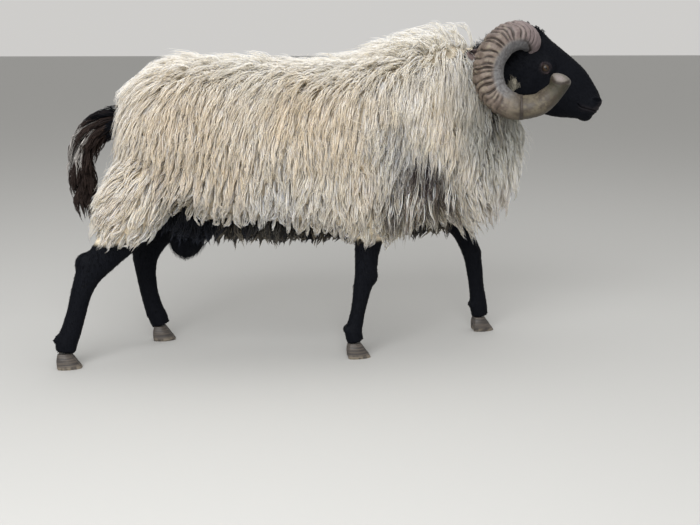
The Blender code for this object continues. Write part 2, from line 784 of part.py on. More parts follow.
def build_ear(name, side):
    """A leaf-shaped, cupped ear that points back and out from behind the horn's root."""
    path = spline([(x, side * y, z) for x, y, z in EAR_PATH], EAR_RINGS)
    along = np.gradient(path, axis=0)
    form = bmesh.new()
    rows = []
    for i, u in enumerate(np.linspace(0, 1, EAR_RINGS)):
        tangent = Vector(along[i]).normalized()
        hollow_way = Vector((0.10, side * 1.0, -0.30))
        hollow_way = (hollow_way - tangent * hollow_way.dot(tangent)).normalized()
        across = tangent.cross(hollow_way)
        leaf = 0.38 + 0.62 * math.sin(math.pi * (0.16 + 0.62 * u))
        breadth = max(EAR_WIDTH * leaf * (1 - u**5) ** 0.5, 0.004)
        row = []
        for v in np.linspace(-1, 1, 5):
            cup = 0.30 * breadth * v * v * (1 - 0.45 * u)
            row.append(form.verts.new(Vector(path[i]) + across * breadth / 2 * v + hollow_way * cup))
        rows.append(row)
    for low, high in zip(rows, rows[1:]):
        for i in range(4):
            form.faces.new((low[i], low[i + 1], high[i + 1], high[i]))
    mesh = bpy.data.meshes.new(name)
    form.to_mesh(mesh)
    form.free()
    ear = new_object(name, mesh)
    shell = ear.modifiers.new("thickness", "SOLIDIFY")
    shell.thickness = EAR_THICK
    shell.offset = 0.0
    bpy.context.view_layer.update()
    graph = bpy.context.evaluated_depsgraph_get()
    replace_mesh(ear, bpy.data.meshes.new_from_object(ear.evaluated_get(graph)))
    root_knob = ellipsoid("ear_root", path[0] + along[0] * 0.6, (0.017, 0.013, 0.014), 0.0, 8, 6)
    combine(ear, [root_knob], "UNION")
    form = bmesh.new()
    form.from_mesh(ear.data)
    bmesh.ops.recalc_face_normals(form, faces=form.faces)
    form.to_mesh(ear.data)
    form.free()
    ear.data.transform(level_matrix())
    return keep_largest(ear)


# Legs and hooves


def tube_rings(rows, sides):
    """Oval rings square to a path of x, y, z, half depth, half width."""
    rows = np.asarray(rows, float)
    along = np.gradient(rows[:, :3], axis=0)
    rings = []
    for (x, y, z, deep, wide), way in zip(rows, along):
        tangent = Vector(way).normalized()
        side = Vector((0, 1, 0))
        side = (side - tangent * side.dot(tangent)).normalized()
        fore = side.cross(tangent)
        ring = []
        for k in range(sides):
            turn = 2 * math.pi * k / sides
            ring.append(Vector((x, y, z)) + fore * math.cos(turn) * deep + side * math.sin(turn) * wide)
        rings.append(ring)
    return rings


def build_leg(name, rows):
    """A leg down to its coronet, cut level above the claws, with two dewclaws behind it."""
    leg = loft(name, tube_rings(spline(rows, LEG_RINGS), LEG_SIDES))
    x, y, z, deep, _wide = rows[-2]
    added = []
    for side in (-1, 1):
        centre = (x - deep * 0.93, y + side * 0.0105, z + 0.010)
        added.append(ellipsoid("dewclaw", centre, DEWCLAW_RADII, 30.0, 7, 5))
    x, y, z, deep, wide = rows[2]
    if name.startswith("fore"):
        added.append(ellipsoid("knee", (x + 0.004, y, z - 0.004), (deep, wide * 1.08, 0.032), 0.0, 9, 6))
    else:
        radii = (0.024, wide * 0.80, 0.030)
        added.append(ellipsoid("hock", (x - 0.014, y, z + 0.020), radii, 20.0, 9, 6))
    combine(leg, added, "UNION")
    keep_largest(leg)
    return half(leg, ((0, 0, CLAW_HEIGHT + 0.0042), (0, 0, 1.0)), True)


def build_claw(name, centre_x, centre_y, side):
    """One claw of a cloven hoof: flat sole, steep toe, flat inner face."""
    rings = []
    # height, back, front, outer half width, as shares of the claw's height, length and width
    for height, back, front, outer in (
        (0.0, -0.44, 0.60, 0.50),
        (0.14, -0.47, 0.57, 0.53),
        (0.60, -0.48, 0.34, 0.50),
        (1.0, -0.42, 0.14, 0.42),
    ):
        z = height * CLAW_HEIGHT
        x0, x1 = back * CLAW_LENGTH, front * CLAW_LENGTH
        wide = 2 * outer * CLAW_WIDTH
        ring = []
        for k in range(9):
            turn = 2 * math.pi * k / 9
            share = (math.cos(turn) + 1) / 2
            x = x0 + (x1 - x0) * share
            bulge = power(math.sin(turn), 0.75)
            point = max(0.0, share - 0.5) * 2  # the toe narrows to a blunt point
            y = CLEFT / 2 + wide * (0.5 + 0.5 * bulge) * (1 - 0.35 * point**2)
            ring.append((x, y, z))
        rings.append(ring)
    claw = loft(name, rings)
    turn_in = Matrix.Rotation(math.radians(-TOE_TURN), 4, "Z")
    mirror = Matrix.Diagonal((1, side, 1, 1))
    claw.data.transform(Matrix.Translation((centre_x, centre_y, 0)) @ mirror @ turn_in)
    if side < 0:
        claw.data.flip_normals()
    return claw


# Tail


def tail_cut():
    """Where the tail's two lengths meet, and the way that it runs there."""
    places = spline(TAIL_PATH, 41)[TAIL_SPLIT - 1 : TAIL_SPLIT + 2]
    low, middle, high = (Vector(row[:3]) for row in places)
    return middle, (high - low).normalized()


def build_tail():
    """The tail's core in two lengths, in the order root, tip."""
    rows = spline([(x, y, z, r, r * 0.9) for x, y, z, r in TAIL_PATH], TAIL_RINGS)
    rings = tube_rings(rows, TAIL_SIDES)
    upper = half(loft("tail_root", rings), tail_cut(), False)
    lower = half(loft("tail_brush", rings), tail_cut(), True)
    return upper, lower


# The whole animal


def finish(objects, slot):
    """Gives each object its material, with smooth shading up to 40 degrees."""
    material = bpy.data.materials.get(slot)
    if material is None:
        material = bpy.data.materials.new(slot)
        material.use_nodes = True
        colour, roughness = FINISHES[slot]
        shader = material.node_tree.nodes["Principled BSDF"]
        shader.inputs["Base Color"].default_value = (*colour, 1)
        shader.inputs["Roughness"].default_value = roughness
        shader.inputs["Metallic"].default_value = 0.0
    for obj in objects:
        obj.data.materials.clear()
        obj.data.materials.append(material)
        obj.data.shade_smooth()
        obj.data.set_sharp_from_angle(angle=math.radians(40))


def stand_on_origin(objects):
    """Moves the animal so that its box's bottom centre is the origin."""
    points = np.array([v.co for obj in objects for v in obj.data.vertices])
    low, high = points.min(0), points.max(0)
    shift = Matrix.Translation((-(low[0] + high[0]) / 2, -(low[1] + high[1]) / 2, -low[2]))
    for obj in objects:
        obj.data.transform(shift)


def main():
    for obj in list(bpy.data.objects):
        bpy.data.objects.remove(obj)
    ram = bpy.data.collections.new("ram")
    bpy.context.scene.collection.children.link(ram)

    eyes = [build_eye("eye_right", -1), build_eye("eye_left", 1)]
    head = build_head(eyes)
    horns = [clear_of(build_horn(n, s), [head]) for n, s in (("horn_right", -1), ("horn_left", 1))]
    ears = [clear_of(build_ear(n, s), [head]) for n, s in (("ear_right", -1), ("ear_left", 1))]

    legs, claws = [], []
    for name, rows in LEGS.items():
        legs.append(build_leg(name, rows))
        for label, side in (("right", -1), ("left", 1)):
            claw_name = name.replace("leg", "claw") + "_" + label
            claws.append(build_claw(claw_name, rows[-1][0] + 0.004, rows[-1][1], side))

    tail = build_tail()
    scrotum = ellipsoid("scrotum", *SCROTUM, 10, 7)
    combine(scrotum, [ellipsoid("cord", *SCROTUM_NECK, 8, 5)], "UNION")
    clear_of(scrotum, legs)

    core = fleece_core()
    rump = half(copy_of(core, "rump"), RUMP_CUT, False)
    barrel = half(half(copy_of(core, "barrel"), RUMP_CUT, True), BARREL_CUT, False)
    shoulders = half(half(copy_of(core, "shoulders"), BARREL_CUT, True), NECK_CUT, False)
    neck = half(copy_of(core, "neck"), NECK_CUT, True)
    clear_of(rump, [*legs[:2], tail[0], scrotum])
    clear_of(shoulders, legs[2:])
    clear_of(neck, [head, *horns, *ears])
    pieces = {"rump": rump, "barrel": barrel, "shoulders": shoulders, "neck": neck}
    grow_fleece(core, pieces, [head, *horns, *ears, *legs, *claws, *tail, scrotum])
    bpy.data.objects.remove(core)
    grow_tail(tail, [rump, *legs])

    fleece = [rump, barrel, shoulders, neck]
    black = [head, *ears, *legs, *tail, scrotum]
    finish(fleece, "fleece")
    finish(black, "black_hair")
    finish(horns, "horn")
    finish(eyes, "eye")
    finish(claws, "hoof")
    stand_on_origin([*fleece, *black, *horns, *eyes, *claws])


main()
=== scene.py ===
import math
from collections import namedtuple

import bmesh
import bpy
import numpy as np
from mathutils import Matrix, Vector
from mathutils.bvhtree import BVHTree


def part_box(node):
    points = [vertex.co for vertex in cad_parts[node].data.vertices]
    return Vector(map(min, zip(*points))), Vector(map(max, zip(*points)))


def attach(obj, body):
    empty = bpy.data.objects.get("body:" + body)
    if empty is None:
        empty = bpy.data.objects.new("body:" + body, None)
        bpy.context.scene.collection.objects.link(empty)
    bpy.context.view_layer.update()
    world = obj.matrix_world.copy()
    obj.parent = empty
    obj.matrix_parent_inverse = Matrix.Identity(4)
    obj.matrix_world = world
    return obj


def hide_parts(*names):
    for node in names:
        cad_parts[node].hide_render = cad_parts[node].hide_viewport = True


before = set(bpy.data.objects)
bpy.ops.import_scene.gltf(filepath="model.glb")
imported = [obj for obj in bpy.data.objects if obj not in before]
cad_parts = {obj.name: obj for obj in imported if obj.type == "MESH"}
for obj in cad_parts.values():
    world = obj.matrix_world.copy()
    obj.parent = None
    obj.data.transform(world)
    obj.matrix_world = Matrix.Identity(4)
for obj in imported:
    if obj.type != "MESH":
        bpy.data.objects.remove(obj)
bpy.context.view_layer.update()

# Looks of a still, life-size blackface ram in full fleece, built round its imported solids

SEED = 7

# Head, in its own frame: a runs from the poll to the nose, n out of the face, y to the left
POLL = (0.444, 0.0, 0.823)
FACE_SLOPE = 46.0
HEAD_TURN = -15.0
EYE = (0.108, 0.0535, -0.014)
EYE_RADIUS = 0.0135
LID_TILT = 14.0
LID_WIDTH, LID_HEIGHT = 0.0125, 0.0078  # half sizes of the lids' opening
HEAD_SECTIONS = (
    (-0.030, 0.000, -0.070, 0.034),
    (-0.012, 0.024, -0.094, 0.050),
    (0.025, 0.037, -0.116, 0.060),
    (0.065, 0.043, -0.130, 0.063),
    (0.105, 0.049, -0.130, 0.060),
    (0.145, 0.054, -0.120, 0.051),
    (0.185, 0.056, -0.103, 0.043),
    (0.222, 0.050, -0.079, 0.037),
    (0.248, 0.044, -0.055, 0.034),
    (0.268, 0.035, -0.038, 0.029),
    (0.280, 0.022, -0.026, 0.021),
    (0.285, 0.010, -0.014, 0.010),
)
HEAD_MASSES = (
    ((0.105, 0.041, -0.011), (0.033, 0.0215, 0.026)),
    ((0.088, 0.036, -0.078), (0.052, 0.027, 0.044)),
    ((0.256, 0.014, 0.008), (0.027, 0.0195, 0.016)),
    ((0.260, 0.013, 0.022), (0.020, 0.0150, 0.0155)),
    ((0.264, 0.0, -0.018), (0.025, 0.0205, 0.0215)),
)
MOUTH = ((0.230, -0.016), (0.247, -0.014), (0.266, -0.003), (0.297, 0.017))  # a, n of its line
NOSTRIL = (0.2630, 0.0245, 0.0275)
NOSTRIL_TURN, NOSTRIL_TILT = -24.0, 26.0
EAR_PATH = ((-0.026, 0.046, -0.063), (-0.082, 0.075, -0.057), (-0.134, 0.111, -0.050))
EAR_WIDTH = 0.048

# Horn: offsets along the level head and up from the poll, distance out to the side, radius
HORN_PATH = (
    (0.026, -0.050, 0.010, 0.022),
    (0.022, -0.021, 0.050, 0.031),
    (-0.006, -0.007, 0.090, 0.0370),
    (-0.044, -0.021, 0.120, 0.0385),
    (-0.072, -0.060, 0.140, 0.0385),
    (-0.078, -0.105, 0.152, 0.0380),
    (-0.060, -0.151, 0.160, 0.0360),
    (-0.012, -0.180, 0.166, 0.0325),
    (0.042, -0.176, 0.170, 0.0285),
    (0.070, -0.157, 0.173, 0.0262),
    (0.0895, -0.136, 0.175, 0.0228),
    (0.099, -0.115, 0.176, 0.0262),
    (0.105, -0.101, 0.177, 0.0190),
)
HORN_ROOT = (0.08, 0.28)  # shares of the length, this one and the next two
HORN_SMOOTH_FROM = 0.565
HORN_CRACK = 0.611
HORN_RIDGES = 24
HORN_RINGS, HORN_SIDES = 460, 56
HORN_FACET = ((0.100, 0.176, -0.114), (-0.10, 0.76, 0.64), 0.0155)  # centre, way it faces, depth

# The fleece as far as the solids' core: x, top z, bottom z, half width, narrowing at the top
FLEECE_SECTIONS = (
    (-0.578, 0.585, 0.500, 0.045, 0.00),
    (-0.558, 0.655, 0.430, 0.105, 0.00),
    (-0.510, 0.705, 0.385, 0.145, 0.02),
    (-0.440, 0.733, 0.355, 0.170, 0.04),
    (-0.340, 0.738, 0.330, 0.188, 0.06),
    (-0.200, 0.730, 0.318, 0.200, 0.06),
    (-0.050, 0.730, 0.315, 0.202, 0.06),
    (0.080, 0.756, 0.318, 0.190, 0.10),
    (0.180, 0.786, 0.325, 0.166, 0.18),
    (0.265, 0.797, 0.345, 0.128, 0.30),
    (0.330, 0.788, 0.372, 0.094, 0.38),
    (0.385, 0.745, 0.405, 0.076, 0.34),
    (0.425, 0.660, 0.445, 0.058, 0.20),
    (0.442, 0.600, 0.490, 0.032, 0.00),
)
# Thighs and shoulders: centre, radii, lean about Y in degrees
LIMB_MASSES = (
    ((-0.548, -0.112, 0.412), (0.072, 0.066, 0.110), 22.0),
    ((-0.468, 0.112, 0.412), (0.085, 0.066, 0.105), 0.0),
    ((0.040, -0.120, 0.395), (0.088, 0.062, 0.095), 0.0),
    ((0.255, 0.105, 0.395), (0.085, 0.058, 0.095), -12.0),
)
# How low the pale wool hangs, along the body; the belly's dark wool, partly its own colour and partly
# painted shade under the body and at the groin, starts above that
HEM = (
    (-0.620, 0.300), (-0.580, 0.303), (-0.550, 0.311), (-0.497, 0.328), (-0.472, 0.352),
    (-0.425, 0.388), (-0.378, 0.368), (-0.277, 0.376), (-0.202, 0.372), (-0.146, 0.352),
    (-0.078, 0.340), (-0.009, 0.316), (0.067, 0.298), (0.117, 0.307), (0.172, 0.325),
    (0.217, 0.303), (0.279, 0.278), (0.325, 0.288), (0.374, 0.279), (0.430, 0.330),
)
BELLY_REACH = (0.284, 0.302)
WOOL_DEPTH = 0.009  # from the skin to the solids' core
FACE_GRAIN = (170.0, 900.0, 900.0)  # how fine the short hair is, along the head
LEG_GRAIN = (700.0, 700.0, 130.0)

# Neck under the wool, and legs: x, y, z, half depth from front to back, half width
NECK = (
    (0.160, 0.000, 0.600, 0.150, 0.110),
    (0.270, 0.000, 0.635, 0.122, 0.084),
    (0.350, -0.003, 0.678, 0.100, 0.066),
    (0.415, -0.010, 0.722, 0.080, 0.055),
    (0.460, -0.018, 0.745, 0.066, 0.048),
)
LEGS = {
    "hindleg_right": (
        (-0.540, -0.106, 0.440, 0.050, 0.034),
        (-0.561, -0.109, 0.362, 0.056, 0.037),
        (-0.618, -0.114, 0.290, 0.040, 0.027),
        (-0.660, -0.116, 0.245, 0.034, 0.023),
        (-0.684, -0.117, 0.195, 0.0265, 0.0195),
        (-0.700, -0.118, 0.140, 0.0245, 0.0185),
        (-0.716, -0.119, 0.092, 0.0260, 0.0200),
        (-0.727, -0.119, 0.066, 0.0270, 0.0215),
        (-0.731, -0.119, 0.042, 0.0255, 0.0215),
    ),
    "hindleg_left": (
        (-0.466, 0.104, 0.440, 0.050, 0.034),
        (-0.474, 0.108, 0.358, 0.057, 0.037),
        (-0.520, 0.110, 0.290, 0.045, 0.028),
        (-0.541, 0.112, 0.240, 0.036, 0.023),
        (-0.543, 0.113, 0.195, 0.0285, 0.0195),
        (-0.537, 0.114, 0.140, 0.0245, 0.0185),
        (-0.526, 0.115, 0.092, 0.0250, 0.0200),
        (-0.516, 0.115, 0.066, 0.0260, 0.0215),
        (-0.508, 0.115, 0.042, 0.0250, 0.0215),
    ),
    "foreleg_right": (
        (0.042, -0.108, 0.430, 0.040, 0.031),
        (0.039, -0.110, 0.345, 0.040, 0.031),
        (0.029, -0.112, 0.270, 0.031, 0.026),
        (0.026, -0.113, 0.220, 0.0285, 0.0235),
        (0.017, -0.113, 0.180, 0.0235, 0.0205),
        (0.008, -0.114, 0.130, 0.0195, 0.0180),
        (0.000, -0.114, 0.092, 0.0205, 0.0190),
        (-0.005, -0.115, 0.066, 0.0225, 0.0210),
        (0.000, -0.115, 0.042, 0.0225, 0.0215),
    ),
    "foreleg_left": (
        (0.262, 0.096, 0.430, 0.041, 0.030),
        (0.290, 0.098, 0.350, 0.041, 0.030),
        (0.330, 0.100, 0.280, 0.029, 0.025),
        (0.353, 0.101, 0.225, 0.0250, 0.0225),
        (0.363, 0.102, 0.180, 0.0235, 0.0205),
        (0.370, 0.103, 0.130, 0.0215, 0.0185),
        (0.376, 0.104, 0.092, 0.0235, 0.0195),
        (0.379, 0.104, 0.066, 0.0245, 0.0210),
        (0.383, 0.105, 0.042, 0.0235, 0.0215),
    ),
}
TAIL_PATH = (
    (-0.500, 0.0, 0.600, 0.020),
    (-0.540, 0.0, 0.612, 0.019),
    (-0.590, 0.0, 0.607, 0.018),
    (-0.640, 0.0, 0.586, 0.016),
    (-0.672, 0.0, 0.545, 0.014),
    (-0.682, 0.0, 0.495, 0.012),
    (-0.679, 0.0, 0.445, 0.010),
    (-0.677, 0.0, 0.405, 0.006),
)
SCROTUM = ((-0.425, 0.0, 0.308), (0.047, 0.037, 0.057), 14.0)
SCROTUM_NECK = ((-0.418, 0.0, 0.357), (0.032, 0.028, 0.036), 0.0)

# How far the wool's tips reach: behind, before and above, as rows of height or length
REAR_REACH = (
    (0.25, -0.625), (0.305, -0.650), (0.387, -0.656), (0.448, -0.634),
    (0.496, -0.608), (0.581, -0.580), (0.660, -0.580), (0.720, -0.560),
)
FRONT_REACH = (
    (0.253, 0.335), (0.279, 0.372), (0.346, 0.417), (0.413, 0.450),
    (0.493, 0.468), (0.599, 0.480), (0.660, 0.465),
)
TOP_REACH = (
    (-0.577, 0.660), (-0.503, 0.750), (-0.440, 0.779), (-0.378, 0.786),
    (-0.254, 0.772), (-0.128, 0.767), (0.000, 0.773), (0.077, 0.800),
    (0.181, 0.830), (0.232, 0.841), (0.290, 0.838), (0.330, 0.820),
)

# Locks and hairs
LOCKS = 5600
LOCK_SPACING = 0.0118
LOCK_STEPS = 14
WISP_SPACING = 0.021
WOOL_PIECES = 4  # on each side
FRIZZ = 3400
TANGLE = (0.37, 0.0, 0.66)  # middle of the tangled wool at the neck
TAIL_LOCKS = 360
TAIL_HAIR = 0.023  # from the tail's own skin to its hair
TAIL_TIP = (-0.672, 0.0, 0.350, 0.004)
POLL_LOCKS = 460
POLL_EDGE = ((0.320, 0.0, 0.815), (0.877, 0.0, 0.481))  # where wool gives way to black hair
THROAT_LOCKS = 34
THROAT = (((0.414, 0.064, 0.684), 0.010), ((0.457, 0.068, 0.672), 0.005))  # where, how wide
SHORT_TUFTS = 7000  # on the face, and as many on the legs
STRAND_RINGS = 7
TAPER = np.linspace(0, 1, STRAND_RINGS)
WOOL_PROFILE = (0.92 + 0.40 * TAPER) * (1 - TAPER**1.7) + 0.035
PATCH = 0.003  # size of each hair's patch on the unwrap
BODY_AXIS = 0.50  # height of the line that the body's unwrap goes round

# Colours of the coat, with yellowed places and dark places that are partly dirt, partly painted shade:
# centre, full to here, gone there, share
CREAM = (0.92, 0.80, 0.60)
PALE = (0.93, 0.87, 0.74)
YELLOW = (0.86, 0.66, 0.38)
PINKISH = (0.72, 0.585, 0.50)
GREENISH = (0.37, 0.355, 0.285)
DIRT_AND_SHADE = (0.034, 0.027, 0.027)
BLACK = (0.0034, 0.0039, 0.0058)
BROWN_BLACK = (0.024, 0.017, 0.015)
GREY = (0.42, 0.40, 0.38)
YELLOWED = (
    ((-0.42, -0.15, 0.58), 0.05, 0.26, 0.50),
    ((-0.15, -0.19, 0.66), 0.02, 0.20, 0.25),
    ((0.46, 0.0, 0.55), 0.02, 0.10, 0.20),
)
# dark places: dirt on the shoulder, and painted shade in the armpit, under the horn and in the fold
# before the thigh
DIRT_AND_SHADE_SPOTS = (
    ((0.150, -0.165, 0.490), 0.02, 0.105),
    ((0.180, -0.150, 0.450), 0.06, 0.120),
    ((0.080, -0.170, 0.400), 0.00, 0.115),
    ((0.075, -0.170, 0.580), 0.00, 0.075),
    ((0.350, -0.060, 0.600), 0.00, 0.070),
    ((0.351, -0.105, 0.580), 0.010, 0.020),
    ((0.360, -0.080, 0.690), 0.00, 0.090),
    ((-0.430, -0.160, 0.420), 0.00, 0.080),
)

# Claws: height, back, front and outer side of each level, as shares of the claw's own size
CLAW_LENGTH = 0.056
CLAW_HEIGHT = 0.040
CLAW_WIDTH = 0.0215
CLAW_LEVELS = (
    (0.0, -0.43, 0.585, 0.49),
    (0.03, -0.44, 0.60, 0.50),
    (0.14, -0.47, 0.57, 0.53),
    (0.60, -0.48, 0.34, 0.50),
    (1.0, -0.42, 0.14, 0.42),
)
CLEFT = 0.0030
TOE_TURN = 5.0

# Stage: the photograph's camera, what the lamps point at, and their names, places, sizes, energies
CAMERA = (-0.333, -2.710, 0.800)
CAMERA_DIP = 11.86
CAMERA_TURN = -7.0
LIT = (0.0, 0.0, 0.45)
LAMPS = (
    ("key", (-1.0, -3.2, 2.4), 3.0, 205.0),
    ("top", (0.3, 0.3, 3.8), 3.5, 42.0),
)
FLOOR_REACH = 60.0


def head_matrix():
    """Carries the head's own a, y, n onto the animal."""
    slope, turn = math.radians(FACE_SLOPE), math.radians(HEAD_TURN)
    along = Vector((math.cos(slope), 0, -math.sin(slope)))
    out = Vector((math.sin(slope), 0, math.cos(slope)))
    axes = Matrix((along, Vector((0, 1, 0)), out)).transposed().to_4x4()
    return Matrix.Translation(POLL) @ Matrix.Rotation(turn, 4, "Z") @ axes


def level_matrix():
    """Carries offsets along the level head, out to the side and up from the poll."""
    return Matrix.Translation(POLL) @ Matrix.Rotation(math.radians(HEAD_TURN), 4, "Z")


HEAD, LEVEL = head_matrix(), level_matrix()
low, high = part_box("eye_right")
SHIFT = (low + high) / 2 - HEAD @ Vector((EYE[0], -EYE[1], EYE[2]))  # design to frame
rng = np.random.default_rng(SEED)
Hair = namedtuple("Hair", "centre out width root spot facing shade black streak")


# Numbers and meshes


def spline(rows, count):
    """Rows of numbers read evenly along a Catmull-Rom curve through the given rows."""
    rows = np.asarray(rows, float)
    padded = np.vstack([2 * rows[0] - rows[1], rows, 2 * rows[-1] - rows[-2]])
    t = np.linspace(0, len(rows) - 1, count)
    i = np.minimum(t.astype(int), len(rows) - 2)
    u = (t - i)[:, None]
    a, b, c, d = (padded[i + k] for k in range(4))
    cubic = (3 * b - a - 3 * c + d) * u**3
    return (2 * b + (c - a) * u + (2 * a - 5 * b + 4 * c - d) * u**2 + cubic) / 2


def unit(vectors):
    return vectors / np.maximum(np.linalg.norm(vectors, axis=-1, keepdims=True), 1e-9)


def power(value, exponent):
    return np.sign(value) * np.abs(value) ** exponent


def smoothstep(value, low, high):
    share = np.clip((value - low) / (high - low), 0, 1)
    return share * share * (3 - 2 * share)


def fading(value, low, high):
    return 1 - smoothstep(value, low, high)


def round_turns(count):
    """Angles evenly round a ring."""
    return np.linspace(0, 2 * math.pi, count, endpoint=False)


def bell(value, centre, width):
    return np.exp(-(((value - centre) / width) ** 2))


def square_to(vectors, ways):
    """Unit vectors made square to some ways."""
    return unit(vectors - ways * (vectors * ways).sum(-1, keepdims=True))


def looked_up(table, value):
    """What rows of pairs say for a value, between rows too."""
    return np.interp(value, *np.array(table).T)


def off_path(points, path):
    """How far places are from the nearest of a path's points."""
    return np.min(np.linalg.norm(points[:, None] - path[None], axis=2), axis=1)


def carried(matrix, points):
    """Points moved by a 4x4 matrix."""
    m = np.array(matrix)
    return np.asarray(points, float) @ m[:3, :3].T + m[:3, 3]


def on_head_axes(points):
    return carried(HEAD.inverted(), points)


def on_level_axes(points):
    return carried(LEVEL.inverted(), points)


def in_frame(points):
    return points + np.array(SHIFT)


def eye_centre(side):
    return np.array([EYE[0], side * EYE[1], EYE[2]])


def loft_form(rings):
    """Points and faces through rings of points, with the two ends capped."""
    rings = np.asarray(rings, float)
    count, sides = rings.shape[:2]
    grid = np.arange(count * sides).reshape(count, sides)
    following = np.roll(grid, -1, axis=1)
    quads = np.stack([grid[:-1], following[:-1], following[1:], grid[1:]], axis=-1)
    faces = [tuple(q) for q in quads.reshape(-1, 4)]
    return rings.reshape(-1, 3), [*faces, tuple(grid[0][::-1]), tuple(grid[-1])]


def ellipsoid_form(centre, radii, lean=0.0, sides=32, count=20):
    """Points and faces of an ellipsoid turned by lean degrees about Y."""
    form = bmesh.new()
    bmesh.ops.create_uvsphere(form, u_segments=sides, v_segments=count, radius=1.0)
    points = np.array([v.co for v in form.verts]) * radii
    faces = [tuple(v.index for v in face.verts) for face in form.faces]
    form.free()
    return carried(Matrix.Rotation(math.radians(lean), 4, "Y"), points) + centre, faces


def mesh_of(forms, name="form"):
    """One mesh of several sets of points and faces, with its faces turned outward."""
    points, faces = [], []
    count = 0
    for some_points, some_faces in forms:
        points.append(np.asarray(some_points))
        faces += [tuple(int(i) + count for i in face) for face in some_faces]
        count += len(some_points)
    mesh = bpy.data.meshes.new(name)
    mesh.from_pydata(np.vstack(points).tolist(), [], faces)
    form = bmesh.new()
    form.from_mesh(mesh)
    bmesh.ops.recalc_face_normals(form, faces=form.faces)
    form.to_mesh(mesh)
    form.free()
    return mesh


def new_object(name, mesh):
    made = bpy.data.objects.new(name, mesh)
    bpy.context.scene.collection.objects.link(made)
    return made


def with_modifier(mesh, kind, **settings):
    """The mesh after one modifier."""
    holder = new_object("holder", mesh)
    step = holder.modifiers.new("step", kind)
    for key, value in settings.items():
        setattr(step, key, value)
    bpy.context.view_layer.update()
    graph = bpy.context.evaluated_depsgraph_get()
    made = bpy.data.meshes.new_from_object(holder.evaluated_get(graph))
    bpy.data.objects.remove(holder)
    bpy.data.meshes.remove(mesh)
    return made


def fused(forms, voxel, rounds):
    """One smooth closed mesh of forms that overlap."""
    mesh = with_modifier(mesh_of(forms), "REMESH", mode="VOXEL", voxel_size=voxel)
    return with_modifier(mesh, "SMOOTH", factor=0.5, iterations=rounds)


def vectors_of(items, field):
    found = np.empty(len(items) * 3, np.float32)
    items.foreach_get(field, found)
    return found.reshape(-1, 3).astype(float)


def positions(mesh):
    return vectors_of(mesh.vertices, "co")


def normals(mesh):
    return vectors_of(mesh.vertex_normals, "vector")


def set_positions(mesh, points):
    mesh.vertices.foreach_set("co", np.asarray(points, np.float32).ravel())
    mesh.update()


def give(mesh, name, values):
    """Stores one number or vector for each point of a mesh."""
    kind = "FLOAT_VECTOR" if values.ndim == 2 else "FLOAT"
    attribute = mesh.attributes.new(name, kind, "POINT")
    field = "vector" if values.ndim == 2 else "value"
    attribute.data.foreach_set(field, np.asarray(values, np.float32).ravel())


def tree_of(mesh):
    return BVHTree.FromPolygons([v.co for v in mesh.vertices], [p.vertices for p in mesh.polygons])


def nearest(tree, points):
    """The nearest places on a surface to some points, and its normals there."""
    found = [tree.find_nearest(Vector(p))[:2] for p in points]
    return np.array([f[0] for f in found]), np.array([f[1] for f in found])


def scattered(mesh, count, where=None):
    """Places spread over a mesh by area, with its normals there; where weights each face."""
    mesh.calc_loop_triangles()
    corners = np.empty(len(mesh.loop_triangles) * 3, np.int32)
    mesh.loop_triangles.foreach_get("vertices", corners)
    triangles = positions(mesh)[corners.reshape(-1, 3)]
    turned = np.cross(triangles[:, 1] - triangles[:, 0], triangles[:, 2] - triangles[:, 0])
    weight = np.linalg.norm(turned, axis=1)
    if where is not None:
        weight = weight * where(triangles.mean(1))
    chosen = rng.choice(len(weight), count, p=weight / weight.sum())
    shares = rng.random((count, 2))
    flip = shares.sum(1) > 1
    shares[flip] = 1 - shares[flip]
    base = triangles[chosen]
    places = base[:, 0] + shares[:, :1] * (base[:, 1] - base[:, 0])
    places += shares[:, 1:] * (base[:, 2] - base[:, 0])
    return places, unit(turned[chosen])


def thinned(places, spacing):
    """Indices of places that are no nearer to each other than spacing, in their order."""
    cells = {}
    kept = []
    for index, place in enumerate(places):
        key = tuple((place // spacing).astype(int))
        around = [
            other
            for i in (-1, 0, 1)
            for j in (-1, 0, 1)
            for k in (-1, 0, 1)
            for other in cells.get((key[0] + i, key[1] + j, key[2] + k, *key[3:]), ())
        ]
        if all(np.dot(place - o, place - o) > spacing * spacing for o in around):
            cells.setdefault(key, []).append(place)
            kept.append(index)
    return np.array(kept)


def wander(points, scale, seed):
    """Smooth random numbers from -1 to 1 over space, of a size given by scale."""
    chance = np.random.default_rng(seed)
    total = np.zeros(len(points))
    for _wave in range(6):
        way = unit(chance.normal(size=3)) * 2 * math.pi / scale * chance.uniform(0.6, 1.6)
        total += np.sin(points @ way + chance.uniform(0, 2 * math.pi))
    return total / 3.2


# Materials


